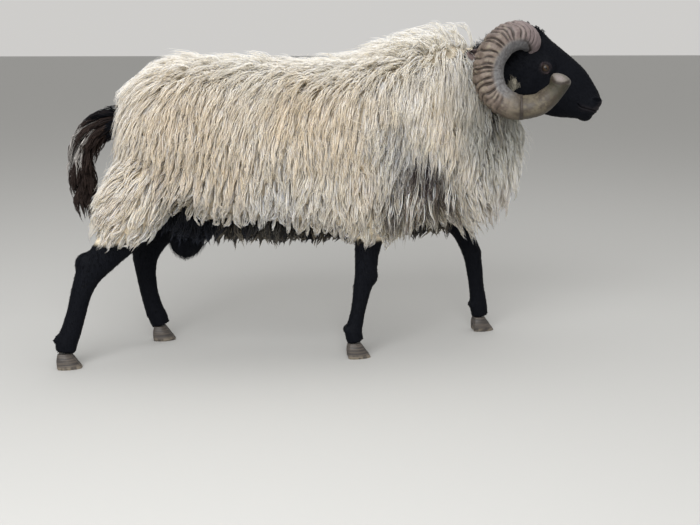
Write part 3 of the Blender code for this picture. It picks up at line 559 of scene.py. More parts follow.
class Graph:
    """Short calls that build a material's nodes."""

    def __init__(self, tree, shader=None):
        self.tree = tree
        self.shader = shader

    def add(self, kind, inputs=(), output=0, **settings):
        node = self.tree.nodes.new(kind)
        for key, value in settings.items():
            setattr(node, key, value)
        for key, value in dict(inputs).items():
            if isinstance(value, bpy.types.NodeSocket):
                self.tree.links.new(value, node.inputs[key])
            else:
                node.inputs[key].default_value = value
        return node.outputs[output]

    def shade_by(self, name, socket):
        """Lets a socket drive one of the shader's inputs."""
        self.tree.links.new(socket, self.shader.inputs[name])

    def bump(self, height, strength, distance):
        inputs = {"Height": height, "Strength": strength, "Distance": distance}
        self.shade_by("Normal", self.add("ShaderNodeBump", inputs))

    def math(self, operation, a, b=0.0):
        return self.add("ShaderNodeMath", {0: a, 1: b}, operation=operation)

    def times(self, a, b):
        return self.math("MULTIPLY", a, b)

    def vector(self, operation, inputs, output=0):
        return self.add("ShaderNodeVectorMath", inputs, output, operation=operation)

    def mix(self, share, a, b, blend="MIX"):
        a, b = ((*c, 1.0) if isinstance(c, tuple) else c for c in (a, b))
        inputs = {0: share, 6: a, 7: b}
        return self.add("ShaderNodeMix", inputs, 2, data_type="RGBA", blend_type=blend)

    def layers(self, colour, *rows):
        """A colour with others laid over it, each by its share."""
        for share, over in rows:
            colour = self.mix(share, colour, over)
        return colour

    def between(self, value, low, high, first, second):
        """One colour where a value is low, going over to a second one where it is high."""
        return self.mix(self.span(value, low, high), first, second)

    def toned(self, colour, tone):
        grey = self.add("ShaderNodeCombineColor", {0: tone, 1: tone, 2: tone})
        return self.mix(1.0, colour, grey, "MULTIPLY")

    def span(self, value, low, high, to_low=0.0, to_high=1.0):
        inputs = {0: value, 1: low, 2: high, 3: to_low, 4: to_high}
        return self.add("ShaderNodeMapRange", inputs, interpolation_type="SMOOTHSTEP")

    def noise(self, place, scale, detail=2.0):
        return self.add("ShaderNodeTexNoise", {"Vector": place, "Scale": scale, "Detail": detail})

    def stretched(self, place, scale):
        return self.vector("MULTIPLY", {0: place, 1: scale})

    def place(self):
        return self.add("ShaderNodeTexCoord", output=3)

    def near(self, place, centre, low, high):
        """1 within low of a centre, falling to 0 at high."""
        far = self.vector("DISTANCE", {0: place, 1: tuple(Vector(centre) + SHIFT)}, 1)
        return self.span(far, low, high, 1.0, 0.0)

    def beyond(self, place, point, way, soft):
        """0 behind a plane through a point, rising to 1 on the side that way points to."""
        way = Vector(way).normalized()
        start = (Vector(point) + SHIFT).dot(way)
        along = self.vector("DOT_PRODUCT", {0: place, 1: tuple(way)}, 1)
        return self.span(along, start - soft, start + soft)

    def attribute(self, name, output="Fac"):
        return self.add("ShaderNodeAttribute", (), output, attribute_name=name)

    def marked(self, place):
        """The coat's colour for a place on the body."""
        markings = bpy.data.node_groups["markings"]
        return self.add("ShaderNodeGroup", {0: place}, node_tree=markings)


def new_material(name, roughness, **settings):
    """A material with a Principled shader, and the helper that adds its nodes."""
    material = bpy.data.materials.new(name)
    material.use_nodes = True
    shader = material.node_tree.nodes["Principled BSDF"]
    shader.inputs["Roughness"].default_value = roughness
    for key, value in settings.items():
        shader.inputs[key.replace("_", " ")].default_value = value
    return material, Graph(material.node_tree, shader)


def past_poll(points):
    """How far places are past the edge between wool and the head's black hair."""
    edge, way = (np.array(part) for part in POLL_EDGE)
    return (points - edge) @ way


def off_ears(points):
    """How far places are from the nearer ear's middle line, past its root."""
    level = on_level_axes(points)
    level[:, 1] = np.abs(level[:, 1])
    return off_path(level, spline(EAR_PATH, 16)[5:])


def black_share(points, ears=True):
    """How black the coat is at places on the body: head, ears, legs, purse, belly and tail; the belly's
    black is partly painted shade under the body.
    """
    x, y, z = points.T
    head = smoothstep(past_poll(points), -0.006, 0.006)
    if ears:
        head = np.maximum(head, fading(off_ears(points), 0.031, 0.038))
    inside = fading(np.abs(y), 0.085, 0.110)
    # black below the hem: the legs' own black, and on the belly and at the groin partly painted shade
    hem = looked_up(HEM, x) - 0.004 + 0.020 * smoothstep(-x, 0.38, 0.44)
    low = fading(z - np.maximum(hem, 0.312 + 0.045 * inside), -0.007, 0.007)
    tail = smoothstep(-x, 0.580, 0.592) * (np.abs(y) < 0.055) * smoothstep(z, 0.36, 0.37)
    return np.clip(head + low + tail, 0, 1)


def wool_colour(graph, place):
    """Cream wool, paler on top, with yellow and pinkish parts, a greenish neck that is partly painted
    shade, and dark parts that are partly dirt and partly painted shade.
    """
    broad, patchy = graph.noise(place, 4.5, 3.0), graph.noise(place, 13.0, 3.0)
    wool = graph.between(broad, 0.40, 0.64, CREAM, PALE)
    top = graph.beyond(place, (0, 0, 0.70), (0, 0, 1), 0.07)
    wool = graph.mix(graph.times(top, 0.7), wool, PALE)
    for centre, inner, outer, amount in YELLOWED:
        wool = graph.mix(graph.times(graph.near(place, centre, inner, outer), amount), wool, YELLOW)
    low = graph.times(graph.beyond(place, (0, 0, 0.50), (0, 0, -1), 0.10), 0.55)
    wool = graph.mix(graph.times(graph.span(patchy, 0.54, 0.70), low), wool, PINKISH)
    # the neck under the head and horns greyed green: partly stained wool, partly painted shade
    neck = graph.near(place, (0.33, 0.0, 0.62), 0.11, 0.19)
    wool = graph.mix(graph.times(graph.span(broad, 0.35, 0.60, 0.35, 0.85), neck), wool, GREENISH)
    own = graph.times(graph.attribute("shade"), 0.80)
    soiled_and_shaded = graph.span(graph.math("SUBTRACT", patchy, own), -0.16, 0.08)
    # dark spots, lock by lock: partly dirt, partly painted shade in the armpit, under the horn and
    # before the thigh
    for centre, inner, outer in DIRT_AND_SHADE_SPOTS:
        share = graph.times(graph.near(place, centre, inner, outer), soiled_and_shaded)
        wool = graph.mix(graph.times(share, 0.95), wool, DIRT_AND_SHADE)
    return wool


def build_markings():
    """Colour of the coat for a place on the body, for skin and hair alike."""
    tree = bpy.data.node_groups.new("markings", "ShaderNodeTree")
    tree.interface.new_socket("Place", in_out="INPUT", socket_type="NodeSocketVector")
    tree.interface.new_socket("Colour", in_out="OUTPUT", socket_type="NodeSocketColor")
    graph = Graph(tree)
    place = graph.add("NodeGroupInput")
    behind = graph.beyond(place, (-0.582, 0, 0.60), (-1.0, 0, 0.0), 0.006)
    tail = graph.times(behind, graph.beyond(place, (0, 0, 0.385), (0, 0, 1), 0.01))
    dark = graph.mix(tail, BLACK, BROWN_BLACK)
    dark = graph.mix(graph.attribute("streak"), dark, GREY)
    coat = graph.mix(graph.attribute("black"), wool_colour(graph, place), dark)
    tree.links.new(coat, tree.nodes.new("NodeGroupOutput").inputs[0])


def coat_material(name, roughness, root_shade, spread, soften, **settings):
    """Hair that takes the body's colour at its root, darker there as painted shade and dirt among the
    locks, each lock a little different.
    """
    material, graph = new_material(name, roughness, **settings)
    place = graph.attribute("root", "Vector")
    # painted shade and dirt near the roots: down to root_shade low on the body, less than half as much
    # dark on top
    high = graph.beyond(place, (0, 0, 0.62), (0, 0, 1), 0.12)
    deep = graph.span(high, 0.0, 1.0, 1 - root_shade, 0.42 * (1 - root_shade))
    near_root = graph.span(graph.attribute("along"), 0.0, 0.75, 1.0, 0.0)
    along = graph.math("SUBTRACT", 1.0, graph.times(near_root, deep))
    shade = graph.span(graph.attribute("shade"), 0.0, 1.0, 1 - spread, 1 + spread)
    graph.shade_by("Base Color", graph.toned(graph.marked(place), graph.times(along, shade)))
    own = graph.add("ShaderNodeNewGeometry", output=1)
    body = graph.vector("SCALE", {0: graph.attribute("facing", "Vector"), 3: soften})
    both = graph.vector("ADD", {0: own, 1: body})
    graph.shade_by("Normal", graph.vector("NORMALIZE", {0: both}))
    return material


def skin_material():
    """Close black hair over the face and legs, and felted wool, darkened as painted shade, where the
    fleece hides it.
    """
    material, graph = new_material("skin", 0.5, Specular_IOR_Level=0.05)
    grain, bare = graph.attribute("grain", "Vector"), graph.attribute("bare")
    hair, coarse = graph.noise(grain, 1.0), graph.noise(grain, 0.28)
    # felted wool under the fleece, darkened as painted shade between the locks
    shaded_felt = graph.between(coarse, 0.35, 0.65, (0.33, 0.285, 0.22), (0.46, 0.405, 0.32))
    colour = graph.layers(
        graph.toned(graph.marked(graph.place()), graph.span(hair, 0.3, 0.7, 0.70, 1.30)),
        (graph.attribute("inner_ear"), (0.20, 0.155, 0.150)),
        (bare, (0.016, 0.014, 0.016)),
        (graph.times(graph.attribute("hidden"), 0.85), shaded_felt),
        (graph.attribute("lid_rim"), (0.060, 0.042, 0.044)),
    )
    graph.shade_by("Base Color", colour)
    graph.shade_by("Roughness", graph.span(bare, 0.0, 1.0, 0.62, 0.40))
    graph.bump(graph.math("ADD", hair, graph.times(coarse, 1.5)), 0.55, 0.0012)
    return material


def horn_material():
    """Ringed horn: grey-pink at the base, tan past the ridges and darkened there as painted shade, with
    painted olive shade under the tip's bulb and brown grooves that are partly painted shade.
    """
    material, graph = new_material("horn", 0.55)
    along, grain = graph.attribute("along"), graph.attribute("grain", "Vector")
    mottle, spots = graph.noise(grain, 1.6, 4.0), graph.noise(grain, 3.4, 3.0)
    grey = graph.between(spots, 0.35, 0.65, (0.088, 0.088, 0.092), (0.150, 0.151, 0.156))
    # tan of the smooth front, darkened as painted shade; the brown smears are its own
    plain = graph.between(mottle, 0.38, 0.62, (0.040, 0.030, 0.019), (0.092, 0.076, 0.050))
    plain = graph.mix(graph.span(spots, 0.54, 0.66, 0.0, 0.5), plain, (0.034, 0.024, 0.015))
    # painted olive shade on the smooth front before the tip's bulb, mottled
    olive_shade = graph.times(graph.span(along, 0.72, 0.84), graph.span(along, 0.89, 0.94, 1.0, 0.0))
    olive_shade = graph.times(olive_shade, graph.span(mottle, 0.30, 0.55, 0.35, 0.9))
    fine = graph.noise(graph.stretched(grain, (0.35, 9.0, 9.0)), 2.0, 3.0)
    rings = graph.noise(graph.stretched(grain, (7.0, 0.8, 0.8)), 2.0)
    lines = graph.math("ADD", graph.times(fine, 0.6), rings)
    colour = graph.layers(
        graph.between(mottle, 0.36, 0.62, (0.078, 0.056, 0.045), (0.150, 0.118, 0.096)),
        (graph.span(spots, 0.52, 0.68, 0.0, 0.8), (0.180, 0.156, 0.114)),
        (graph.span(along, 0.10, 0.33, 0.75, 0.0), (0.200, 0.158, 0.166)),
        (graph.times(graph.attribute("pale"), 0.9), grey),
        (graph.span(along, 0.50, 0.625), plain),
        (olive_shade, (0.016, 0.015, 0.006)),
        (graph.span(along, 0.90, 0.94, 0.0, 0.7), (0.120, 0.108, 0.096)),
        (graph.attribute("worn"), (0.175, 0.152, 0.145)),
        # grooves, crack, keel channel and the tip's crease painted dark: partly their own brown, partly
        # painted shade
        (graph.span(graph.attribute("groove"), 0.08, 0.70, 0.0, 0.90), (0.022, 0.015, 0.011)),
        (graph.span(lines, 0.85, 1.05, 0.0, 0.45), (0.066, 0.045, 0.030)),
    )
    graph.shade_by("Base Color", colour)
    graph.shade_by("Roughness", graph.span(mottle, 0.3, 0.7, 0.50, 0.70))
    graph.bump(graph.math("ADD", lines, spots), 0.6, 0.0016)
    return material


def hoof_material():
    """Dark horn with fine growth lines, worn pale at the ground."""
    material, graph = new_material("hoof", 0.5)
    place = graph.place()
    rings = graph.noise(graph.stretched(place, (18.0, 18.0, 340.0)), 1.0)
    wear = graph.noise(place, 95.0, 4.0)
    colour = graph.between(rings, 0.35, 0.65, (0.030, 0.026, 0.024), (0.075, 0.062, 0.052))
    height = graph.add("ShaderNodeSeparateXYZ", {0: place}, 2)
    worn = graph.times(graph.span(height, 0.0, 0.014, 1.0, 0.0), graph.span(wear, 0.4, 0.6))
    graph.shade_by("Base Color", graph.mix(worn, colour, (0.19, 0.16, 0.12)))
    graph.bump(graph.math("ADD", rings, wear), 0.5, 0.0012)
    return material


def eye_material():
    """Amber-brown iris with a level, oblong pupil and a dark rim."""
    settings = {"Coat_Weight": 0.05, "Coat_Roughness": 0.2, "Specular_IOR_Level": 0.3}
    material, graph = new_material("eye", 0.38, **settings)
    look = graph.attribute("gaze", "Vector")
    across, up = (graph.add("ShaderNodeSeparateXYZ", {0: look}, axis) for axis in (0, 2))
    flat = graph.add("ShaderNodeCombineXYZ", {0: across, 1: up})
    far = graph.vector("LENGTH", {0: flat}, 1)
    streaks = graph.noise(graph.stretched(look, (9.0, 9.0, 9.0)), 1.5, 3.0)
    wide = graph.span(graph.math("ABSOLUTE", across), 0.30, 0.36, 1.0, 0.0)
    tall = graph.span(graph.math("ABSOLUTE", up), 0.10, 0.15, 1.0, 0.0)
    colour = graph.layers(
        graph.between(streaks, 0.35, 0.65, (0.014, 0.008, 0.004), (0.040, 0.022, 0.010)),
        (graph.span(far, 0.50, 0.66), (0.008, 0.006, 0.005)),
        (graph.times(wide, tall), (0.002, 0.002, 0.003)),
        (graph.span(far, 0.70, 0.86), (0.030, 0.020, 0.016)),
    )
    graph.shade_by("Base Color", colour)
    return material


# Skin


def fleece_ring(section, inset):
    """One upright section of the fleece's core, moved inward by inset."""
    x, top, bottom, half_width, narrowing = section
    middle, height = (top + bottom) / 2, (top - bottom) / 2 - inset
    turn = round_turns(48)
    up = power(np.cos(turn), 2 / 2.3)
    y = (half_width - inset) * power(np.sin(turn), 2 / 2.3) * (1 - narrowing * up)
    return np.stack([np.full_like(turn, x), y, middle + height * up], axis=1)


def body_forms(inset):
    """The trunk with its thighs and shoulders, at the core's surface or inside it."""
    rows = spline(FLEECE_SECTIONS, 60)
    if inset:
        rows = rows[rows[:, 3] > inset + 0.012]
    forms = [loft_form([fleece_ring(row, inset) for row in rows])]
    for centre, radii, lean in LIMB_MASSES:
        forms.append(ellipsoid_form(centre, np.array(radii) - inset * 0.55, lean))
    return forms


def tube_rings(rows, sides):
    """Oval rings square to a path of x, y, z, half depth, half width."""
    along = unit(np.gradient(rows[:, :3], axis=0))
    side = unit(np.array([0.0, 1.0, 0.0]) - along * along[:, 1:2])
    fore = np.cross(side, along)
    turn = round_turns(sides)[None, :, None]
    deep, wide = rows[:, 3, None, None], rows[:, 4, None, None]
    offsets = fore[:, None] * np.cos(turn) * deep + side[:, None] * np.sin(turn) * wide
    return rows[:, None, :3] + offsets


def leg_forms():
    """Legs with their dew claws, and the bony knees or hocks."""
    forms = []
    for name, rows in LEGS.items():
        forms.append(loft_form(tube_rings(spline(rows, 60), 28)))
        x, y, z, deep, _wide = rows[-2]
        for side in (-1, 1):
            centre = (x - deep * 0.88, y + side * 0.0105, z + 0.010)
            forms.append(ellipsoid_form(centre, (0.0090, 0.0066, 0.0110), 30.0, 16, 10))
        x, y, z, deep, wide = rows[3]
        if name.startswith("fore"):
            forms.append(ellipsoid_form((x + 0.004, y, z - 0.004), (deep, wide * 1.06, 0.032)))
        else:
            point = (x - 0.014, y, z + 0.020)
            forms.append(ellipsoid_form(point, (0.024, wide * 0.80, 0.030), 20.0))
    return forms


def head_forms():
    """The skull and its rounder masses: brows, cheeks, nose and chin."""
    rings = []
    turn = round_turns(64)
    up = power(np.cos(turn), 0.92)
    narrow = 1.0 - 0.16 * np.maximum(0.0, up) - 0.10 * np.maximum(0.0, -up)
    for a, top, bottom, half_width in spline(HEAD_SECTIONS, 60):
        y = half_width * power(np.sin(turn), 0.92) * narrow
        n = (top + bottom) / 2 + (top - bottom) / 2 * up
        rings.append(np.stack([np.full_like(turn, a), y, n], axis=1))
    forms = [loft_form(rings)]
    for (a, y, n), radii in HEAD_MASSES:
        for side in (-1, 1) if y else (1,):
            forms.append(ellipsoid_form((a, side * y, n), radii))
    return [(carried(HEAD, points), faces) for points, faces in forms]


def ear_middle(side):
    return spline([(x, side * y, z) for x, y, z in EAR_PATH], 24)


def ear_opening(side):
    """The way that an ear's inner face looks."""
    return np.array([0.10, side, -0.30])


def ear_forms():
    """Cupped ears that point back and out from behind the horns' roots."""
    forms = []
    across_steps = np.linspace(-1, 1, 15)
    for side in (-1, 1):
        path = ear_middle(side)
        along = unit(np.gradient(path, axis=0))
        rings = []
        for i, u in enumerate(np.linspace(0, 1, 24)):
            hollow = ear_opening(side)
            hollow = unit(hollow - along[i] * hollow.dot(along[i]))
            across = np.cross(along[i], hollow)
            leaf = 0.38 + 0.62 * math.sin(math.pi * (0.16 + 0.62 * u))
            breadth = max(EAR_WIDTH * leaf * math.sqrt(max(0.0, 1 - u**5)), 0.005)
            cup = 0.30 * breadth * across_steps**2 * (1 - 0.45 * u)
            row = path[i] + across * breadth / 2 * across_steps[:, None] + hollow * cup[:, None]
            thick = 0.0021 * (1 - 0.45 * u)
            rings.append(np.vstack([row + hollow * thick, row[::-1] - hollow * thick]))
        forms.append(loft_form(rings))
        forms.append(ellipsoid_form(path[0] + along[0] * 0.008, (0.018, 0.014, 0.015)))
    return [(carried(LEVEL, points), faces) for points, faces in forms]


def split_near(mesh, centre, radius):
    """Divides the edges of a mesh within a radius of a centre."""
    form = bmesh.new()
    form.from_mesh(mesh)
    inside = {v for v in form.verts if (v.co - centre).length < radius}
    edges = [e for e in form.edges if e.verts[0] in inside and e.verts[1] in inside]
    bmesh.ops.subdivide_edges(form, edges=edges, cuts=1, use_grid_fill=True)
    form.to_mesh(mesh)
    form.free()


def lid_reach(offset):
    """Where offsets from the eye's centre lie: 1 on the lids' edge, less inside the opening."""
    tilt = math.radians(LID_TILT)
    across = offset[:, 0] * math.cos(tilt) - offset[:, 2] * math.sin(tilt)
    up = offset[:, 0] * math.sin(tilt) + offset[:, 2] * math.cos(tilt)
    tall = (up + 0.0004) / LID_HEIGHT * (1 + 0.25 * (across / LID_WIDTH) ** 2)
    return np.hypot(across / LID_WIDTH, tall)


def shape_eyes(local):
    """Opens the lids round each eye: skin follows the ball outside an almond-shaped opening."""
    for side in (-1, 1):
        centre = eye_centre(side)
        offset = local - centre
        out, up = offset[:, 1] * side, offset[:, 2]
        lid = lid_reach(offset)
        far = np.linalg.norm(offset, axis=1)
        facing = (out > 0) & (far < 0.036)
        rim = EYE_RADIUS + 0.0021 + 0.0012 * bell(lid, 1.18, 0.16)
        pit = EYE_RADIUS - 0.0030
        wanted = pit + (rim - pit) * smoothstep(lid, 0.90, 1.06)
        natural = np.where(far < 1e-6, 1e-6, far)
        wanted = wanted + (natural - wanted) * smoothstep(lid, 1.35, 2.3)
        crease = 0.0012 * bell(lid, 1.62, 0.13) * (up > -0.002)
        crease += 0.0009 * bell(lid, 1.75, 0.15) * (up < 0.0)
        scale = np.where(facing, (wanted - crease) / natural, 1.0)
        local = centre + offset * scale[:, None]
    return local


def over_mouth(a, n):
    """How far places are over the mouth's line."""
    return n - looked_up(spline(MOUTH, 40), a)


def mouth_relief(a, y, n):
    """How far the mouth's line, the lips and the groove over them move the skin."""
    gap = over_mouth(a, n)
    on_line = smoothstep(a, MOUTH[0][0] - 0.002, MOUTH[0][0] + 0.006)
    push = 0.0010 * bell(np.abs(gap), 0.0045, 0.0028) * on_line
    push -= 0.0042 * bell(gap, 0, 0.0011) * on_line
    groove = 0.0020 * bell(y, 0, 0.0012) * smoothstep(a, 0.264, 0.273)
    push -= groove * smoothstep(gap, 0.004, 0.010) * fading(n, 0.026, 0.032)
    for k, height in enumerate((0.0006, 0.0005)):
        fold = np.hypot(a - MOUTH[0][0], n - MOUTH[0][1]) - 0.010 - 0.008 * k
        behind = smoothstep(MOUTH[0][0] - a, -0.006, 0.004)
        push += height * bell(fold, 0, 0.0028) * behind
    return push


def slit(local, centre, way, length, thick):
    """How far places are from a slit, 1 at its edge."""
    offset = local - np.array(centre)
    along = offset @ way
    off = np.linalg.norm(offset - along[:, None] * way, axis=1)
    return np.hypot(along / length, off / thick)


def nostril_relief(local, side):
    """One nostril: a slit that hooks down in front, and the wing round it."""
    a, y, n = NOSTRIL
    turn, tilt = math.radians(side * NOSTRIL_TURN), math.radians(NOSTRIL_TILT)
    flat = math.cos(tilt)
    way = np.array([math.cos(turn) * flat, math.sin(turn) * flat, math.sin(tilt)])
    upper = slit(local, (a, side * y, n), way, 0.0098, 0.0034)
    hook = unit(np.array([0.30, -0.45 * side, -0.80]))
    lower = slit(local, (a + 0.0120, side * (y - 0.0125), n - 0.0005), hook, 0.0062, 0.0032)
    push = 0.0015 * bell(upper, 1.75, 0.42)
    return push - 0.0068 * np.exp(-(upper**2.4)) - 0.0046 * np.exp(-(lower**2.4))


def shape_muzzle(local, outward):
    """Cuts the mouth's line and the nostrils, and raises folds at the mouth's corner."""
    push = mouth_relief(*local.T)
    for side in (-1, 1):
        push += nostril_relief(local, side)
    return local + outward * push[:, None]


def shape_face(local, outward):
    """Bony ridges and hollows of the face, too soft for the solids to hold."""
    a, y, n = local.T
    moved = local.copy()
    for centre, radii, height in (
        ((0.150, 0.043, -0.030), (0.018, 0.020, 0.011), -0.0022),
        ((0.175, 0.040, -0.052), (0.050, 0.030, 0.006), 0.0020),
        ((0.180, 0.035, -0.080), (0.030, 0.030, 0.012), -0.0022),
        ((0.225, 0.033, 0.020), (0.022, 0.020, 0.010), -0.0016),
        ((0.060, 0.055, -0.060), (0.010, 0.030, 0.035), -0.0016),
        ((0.112, 0.050, 0.012), (0.022, 0.020, 0.006), 0.0018),
        ((0.030, 0.0, 0.040), (0.030, 0.016, 0.030), 0.0020),
    ):
        for side in (-1, 1):
            spot = (np.stack([a, y * side, n], axis=1) - centre) / radii
            moved += outward * (height * np.exp(-(spot**2).sum(1)))[:, None]
    return moved


def head_skin():
    """Head, ears and the top of the neck, finely meshed and shaped in the head's own frame."""
    neck = [loft_form(tube_rings(spline(NECK, 40)[18:], 48))]
    mesh = fused([*head_forms(), *ear_forms(), *neck], 0.0021, 9)
    for side in (-1, 1):
        for radius in (0.030, 0.0215):
            split_near(mesh, HEAD @ Vector(eye_centre(side)), radius)
    split_near(mesh, HEAD @ Vector((0.262, 0.0, 0.006)), 0.050)
    split_near(mesh, HEAD @ Vector((0.270, 0.0, 0.026)), 0.030)
    local = on_head_axes(positions(mesh))
    outward = normals(mesh) @ np.array(HEAD.inverted().to_3x3()).T
    local = shape_face(local, outward)
    local = shape_muzzle(local, outward)
    local = shape_eyes(local)
    set_positions(mesh, carried(HEAD, local))
    return with_modifier(mesh, "DECIMATE", ratio=0.56)


def body_skin():
    """Trunk, legs, tail and the base of the neck."""
    tail = [(x, y, z, r, r) for x, y, z, r in TAIL_PATH]
    forms = [
        *body_forms(WOOL_DEPTH),
        loft_form(tube_rings(spline(NECK, 40)[:34], 48)),
        *leg_forms(),
        loft_form(tube_rings(spline(tail, 50), 20)),
        ellipsoid_form(*SCROTUM),
        ellipsoid_form(*SCROTUM_NECK),
    ]
    return with_modifier(fused(forms, 0.0050, 7), "DECIMATE", ratio=0.42)


def united(first, second):
    """One closed mesh of two."""
    other = new_object("other", second)
    mesh = with_modifier(first, "BOOLEAN", operation="UNION", solver="MANIFOLD", object=other)
    bpy.data.objects.remove(other)
    return mesh


def inner_ear(points, outward):
    """How far places are part of the bare inner face of an ear."""
    level = on_level_axes(points)
    facing = outward @ np.array(LEVEL.to_3x3())
    inner = np.zeros(len(points))
    for side in (-1, 1):
        near = off_path(level, ear_middle(side)) < 0.028
        cup = facing @ unit(ear_opening(side))
        inner += near * smoothstep(cup, 0.25, 0.7) * smoothstep(-level[:, 0], 0.045, 0.07)
    return np.clip(inner, 0, 1) * 0.9


def bare_skin(local):
    """How bare the nose, lips and lids are, and how far places lie on the lids' rims."""
    a, y, n = local.T
    gap = over_mouth(a, n)
    bare = smoothstep(a, 0.266, 0.277) * smoothstep(gap, 0.0, 0.010)
    bare = bare + smoothstep(a, 0.235, 0.25) * bell(gap, 0, 0.008) * 0.7
    near_eye, rim = np.zeros(len(a)), np.zeros(len(a))
    for side in (-1, 1):
        offset = local - eye_centre(side)
        far = np.linalg.norm(offset, axis=1)
        near_eye += fading(far, 0.0165, 0.0185)
        rim += bell(lid_reach(offset), 1.10, 0.13) * (y * side > 0) * (far < 0.025)
    return np.clip(bare + near_eye, 0, 1), np.clip(rim, 0, 1) * 0.8


def add_skin_details(mesh):
    """Numbers that the skin's material reads: the way of the hair, ears, bare and hidden places."""
    points = positions(mesh)
    local = on_head_axes(points)
    a = local[:, 0]
    head = smoothstep(a, -0.05, -0.01) * (points[:, 2] > 0.58) * (points[:, 0] > 0.38)
    along_face, along_leg = local * np.array(FACE_GRAIN), points * np.array(LEG_GRAIN)
    give(mesh, "grain", np.where(head[:, None] > 0.5, along_face, along_leg))
    give(mesh, "inner_ear", inner_ear(points, normals(mesh)))
    bare, rim = bare_skin(local)
    give(mesh, "bare", bare)
    give(mesh, "lid_rim", rim)
    under = smoothstep(points[:, 2], 0.345, 0.375) * fading(a, -0.075, -0.045)
    under *= smoothstep(points[:, 0], -0.595, -0.575)
    black = black_share(points)
    give(mesh, "hidden", under * (1 - black))
    give(mesh, "black", black)
    give(mesh, "streak", np.zeros(len(points)))
    give(mesh, "shade", np.full(len(points), 0.5))


def build_skin():
    mesh = united(body_skin(), head_skin())
    mesh = with_modifier(mesh, "TRIANGULATE")
    add_skin_details(mesh)
    return mesh


# Hair


def strand_faces(rings):
    """Corners of the quads and triangles of one three-sided hair, whose tip is its last point."""
    tip = 3 * (rings - 1)
    corners = ((0, 1), (1, 2), (2, 0))
    quads = [(i + k, i + 3 + k, i + 3 + j, i + j) for i in range(0, tip - 3, 3) for k, j in corners]
    return quads, [(0, 1, 2)] + [(tip - 3 + k, tip, tip - 3 + j) for k, j in corners]


def spread_out(spots):
    """Spots of one piece, made to fill the unit square inside a margin."""
    low, high = spots.min(0), spots.max(0)
    return 0.01 + 0.98 * (spots - low) / np.maximum(high - low, 1e-6)


def strand_points(hair, thick):
    """Three points round each ring of each hair, and one at its tip."""
    along = unit(np.gradient(hair.centre, axis=1))
    out = square_to(hair.out, along)
    across, half = np.cross(along, out), hair.width[..., None] / 2
    ways = across * half, out * half * 2 * thick, -across * half
    ringed = np.stack([hair.centre + way for way in ways], axis=2)[:, :-1]
    return np.concatenate([ringed.reshape(len(ringed), -1, 3), hair.centre[:, -1:]], axis=1)


def strand_mesh(name, points, rings):
    """A mesh of hairs that all have the same number of rings, and the corners of its faces."""
    hairs, per = points.shape[:2]
    quads, triangles = strand_faces(rings)
    pattern = np.concatenate([np.ravel(quads), np.ravel(triangles)])
    corners = (pattern[None] + (np.arange(hairs) * per)[:, None]).ravel()
    sizes = np.tile([4] * len(quads) + [3] * len(triangles), hairs)
    mesh = bpy.data.meshes.new(name)
    mesh.vertices.add(hairs * per)
    mesh.loops.add(len(corners))
    mesh.polygons.add(len(sizes))
    mesh.vertices.foreach_set("co", in_frame(points.reshape(-1, 3)).astype(np.float32).ravel())
    mesh.loops.foreach_set("vertex_index", corners.astype(np.int32))
    mesh.polygons.foreach_set("loop_start", (np.cumsum(sizes) - sizes).astype(np.int32))
    mesh.polygons.foreach_set("use_smooth", np.ones(len(sizes), bool))
    mesh.update(calc_edges=True)
    return mesh, corners


def hair_object(name, hair, thick):
    """Many tapering three-sided hairs as one object, thick being their depth to their width."""
    hairs, rings = hair.width.shape
    points = strand_points(hair, thick)
    per = points.shape[1]
    mesh, corners = strand_mesh(name, points, rings)
    share = np.append(np.repeat(np.linspace(0, 1, rings), 3)[: per - 1], 1.0)
    give(mesh, "along", np.tile(share, hairs))
    give(mesh, "root", np.repeat(in_frame(hair.root), per, axis=0))
    for key in ("shade", "black", "streak", "facing"):
        give(mesh, key, np.repeat(getattr(hair, key), per, axis=0))
    aside = np.append(np.tile([-0.5, 0.0, 0.5], rings - 1), 0.0)
    patch = np.stack([aside, share - 0.5], axis=1) * PATCH
    spots = np.repeat(spread_out(hair.spot), per, axis=0) + np.tile(patch, (hairs, 1))
    layer = mesh.uv_layers.new(name="OFBake")
    layer.data.foreach_set("uv", spots[corners].astype(np.float32).ravel())
    return new_object(name, mesh)


def hair_of(centre, out, width, root, spot, facing, shade, black=1.0, streak=0.0):
    """Hair with a row for each strand; a single number stands for all strands."""
    tones = (np.broadcast_to(tone, len(centre)) for tone in (shade, black, streak))
    return Hair(centre, out, width, root, spot, facing, *tones)


def tapering(count, thin, broad, fullness):
    """Widths of strands from root to tip: the fuller, the later they taper."""
    return rng.uniform(thin, broad, count)[:, None] * ((1 - TAPER**fullness) + 0.05)[None]


def read_along(table, share):
    """Rows of (locks, steps, 3) tables read at shares of their length, (locks, rings)."""
    steps = table.shape[1] - 1
    place = np.clip(share, 0, 1) * steps
    low = np.minimum(place.astype(int), steps - 1)
    part = (place - low)[..., None]
    rows = np.arange(len(table))[:, None]
    return table[rows, low] * (1 - part) + table[rows, low + 1] * part


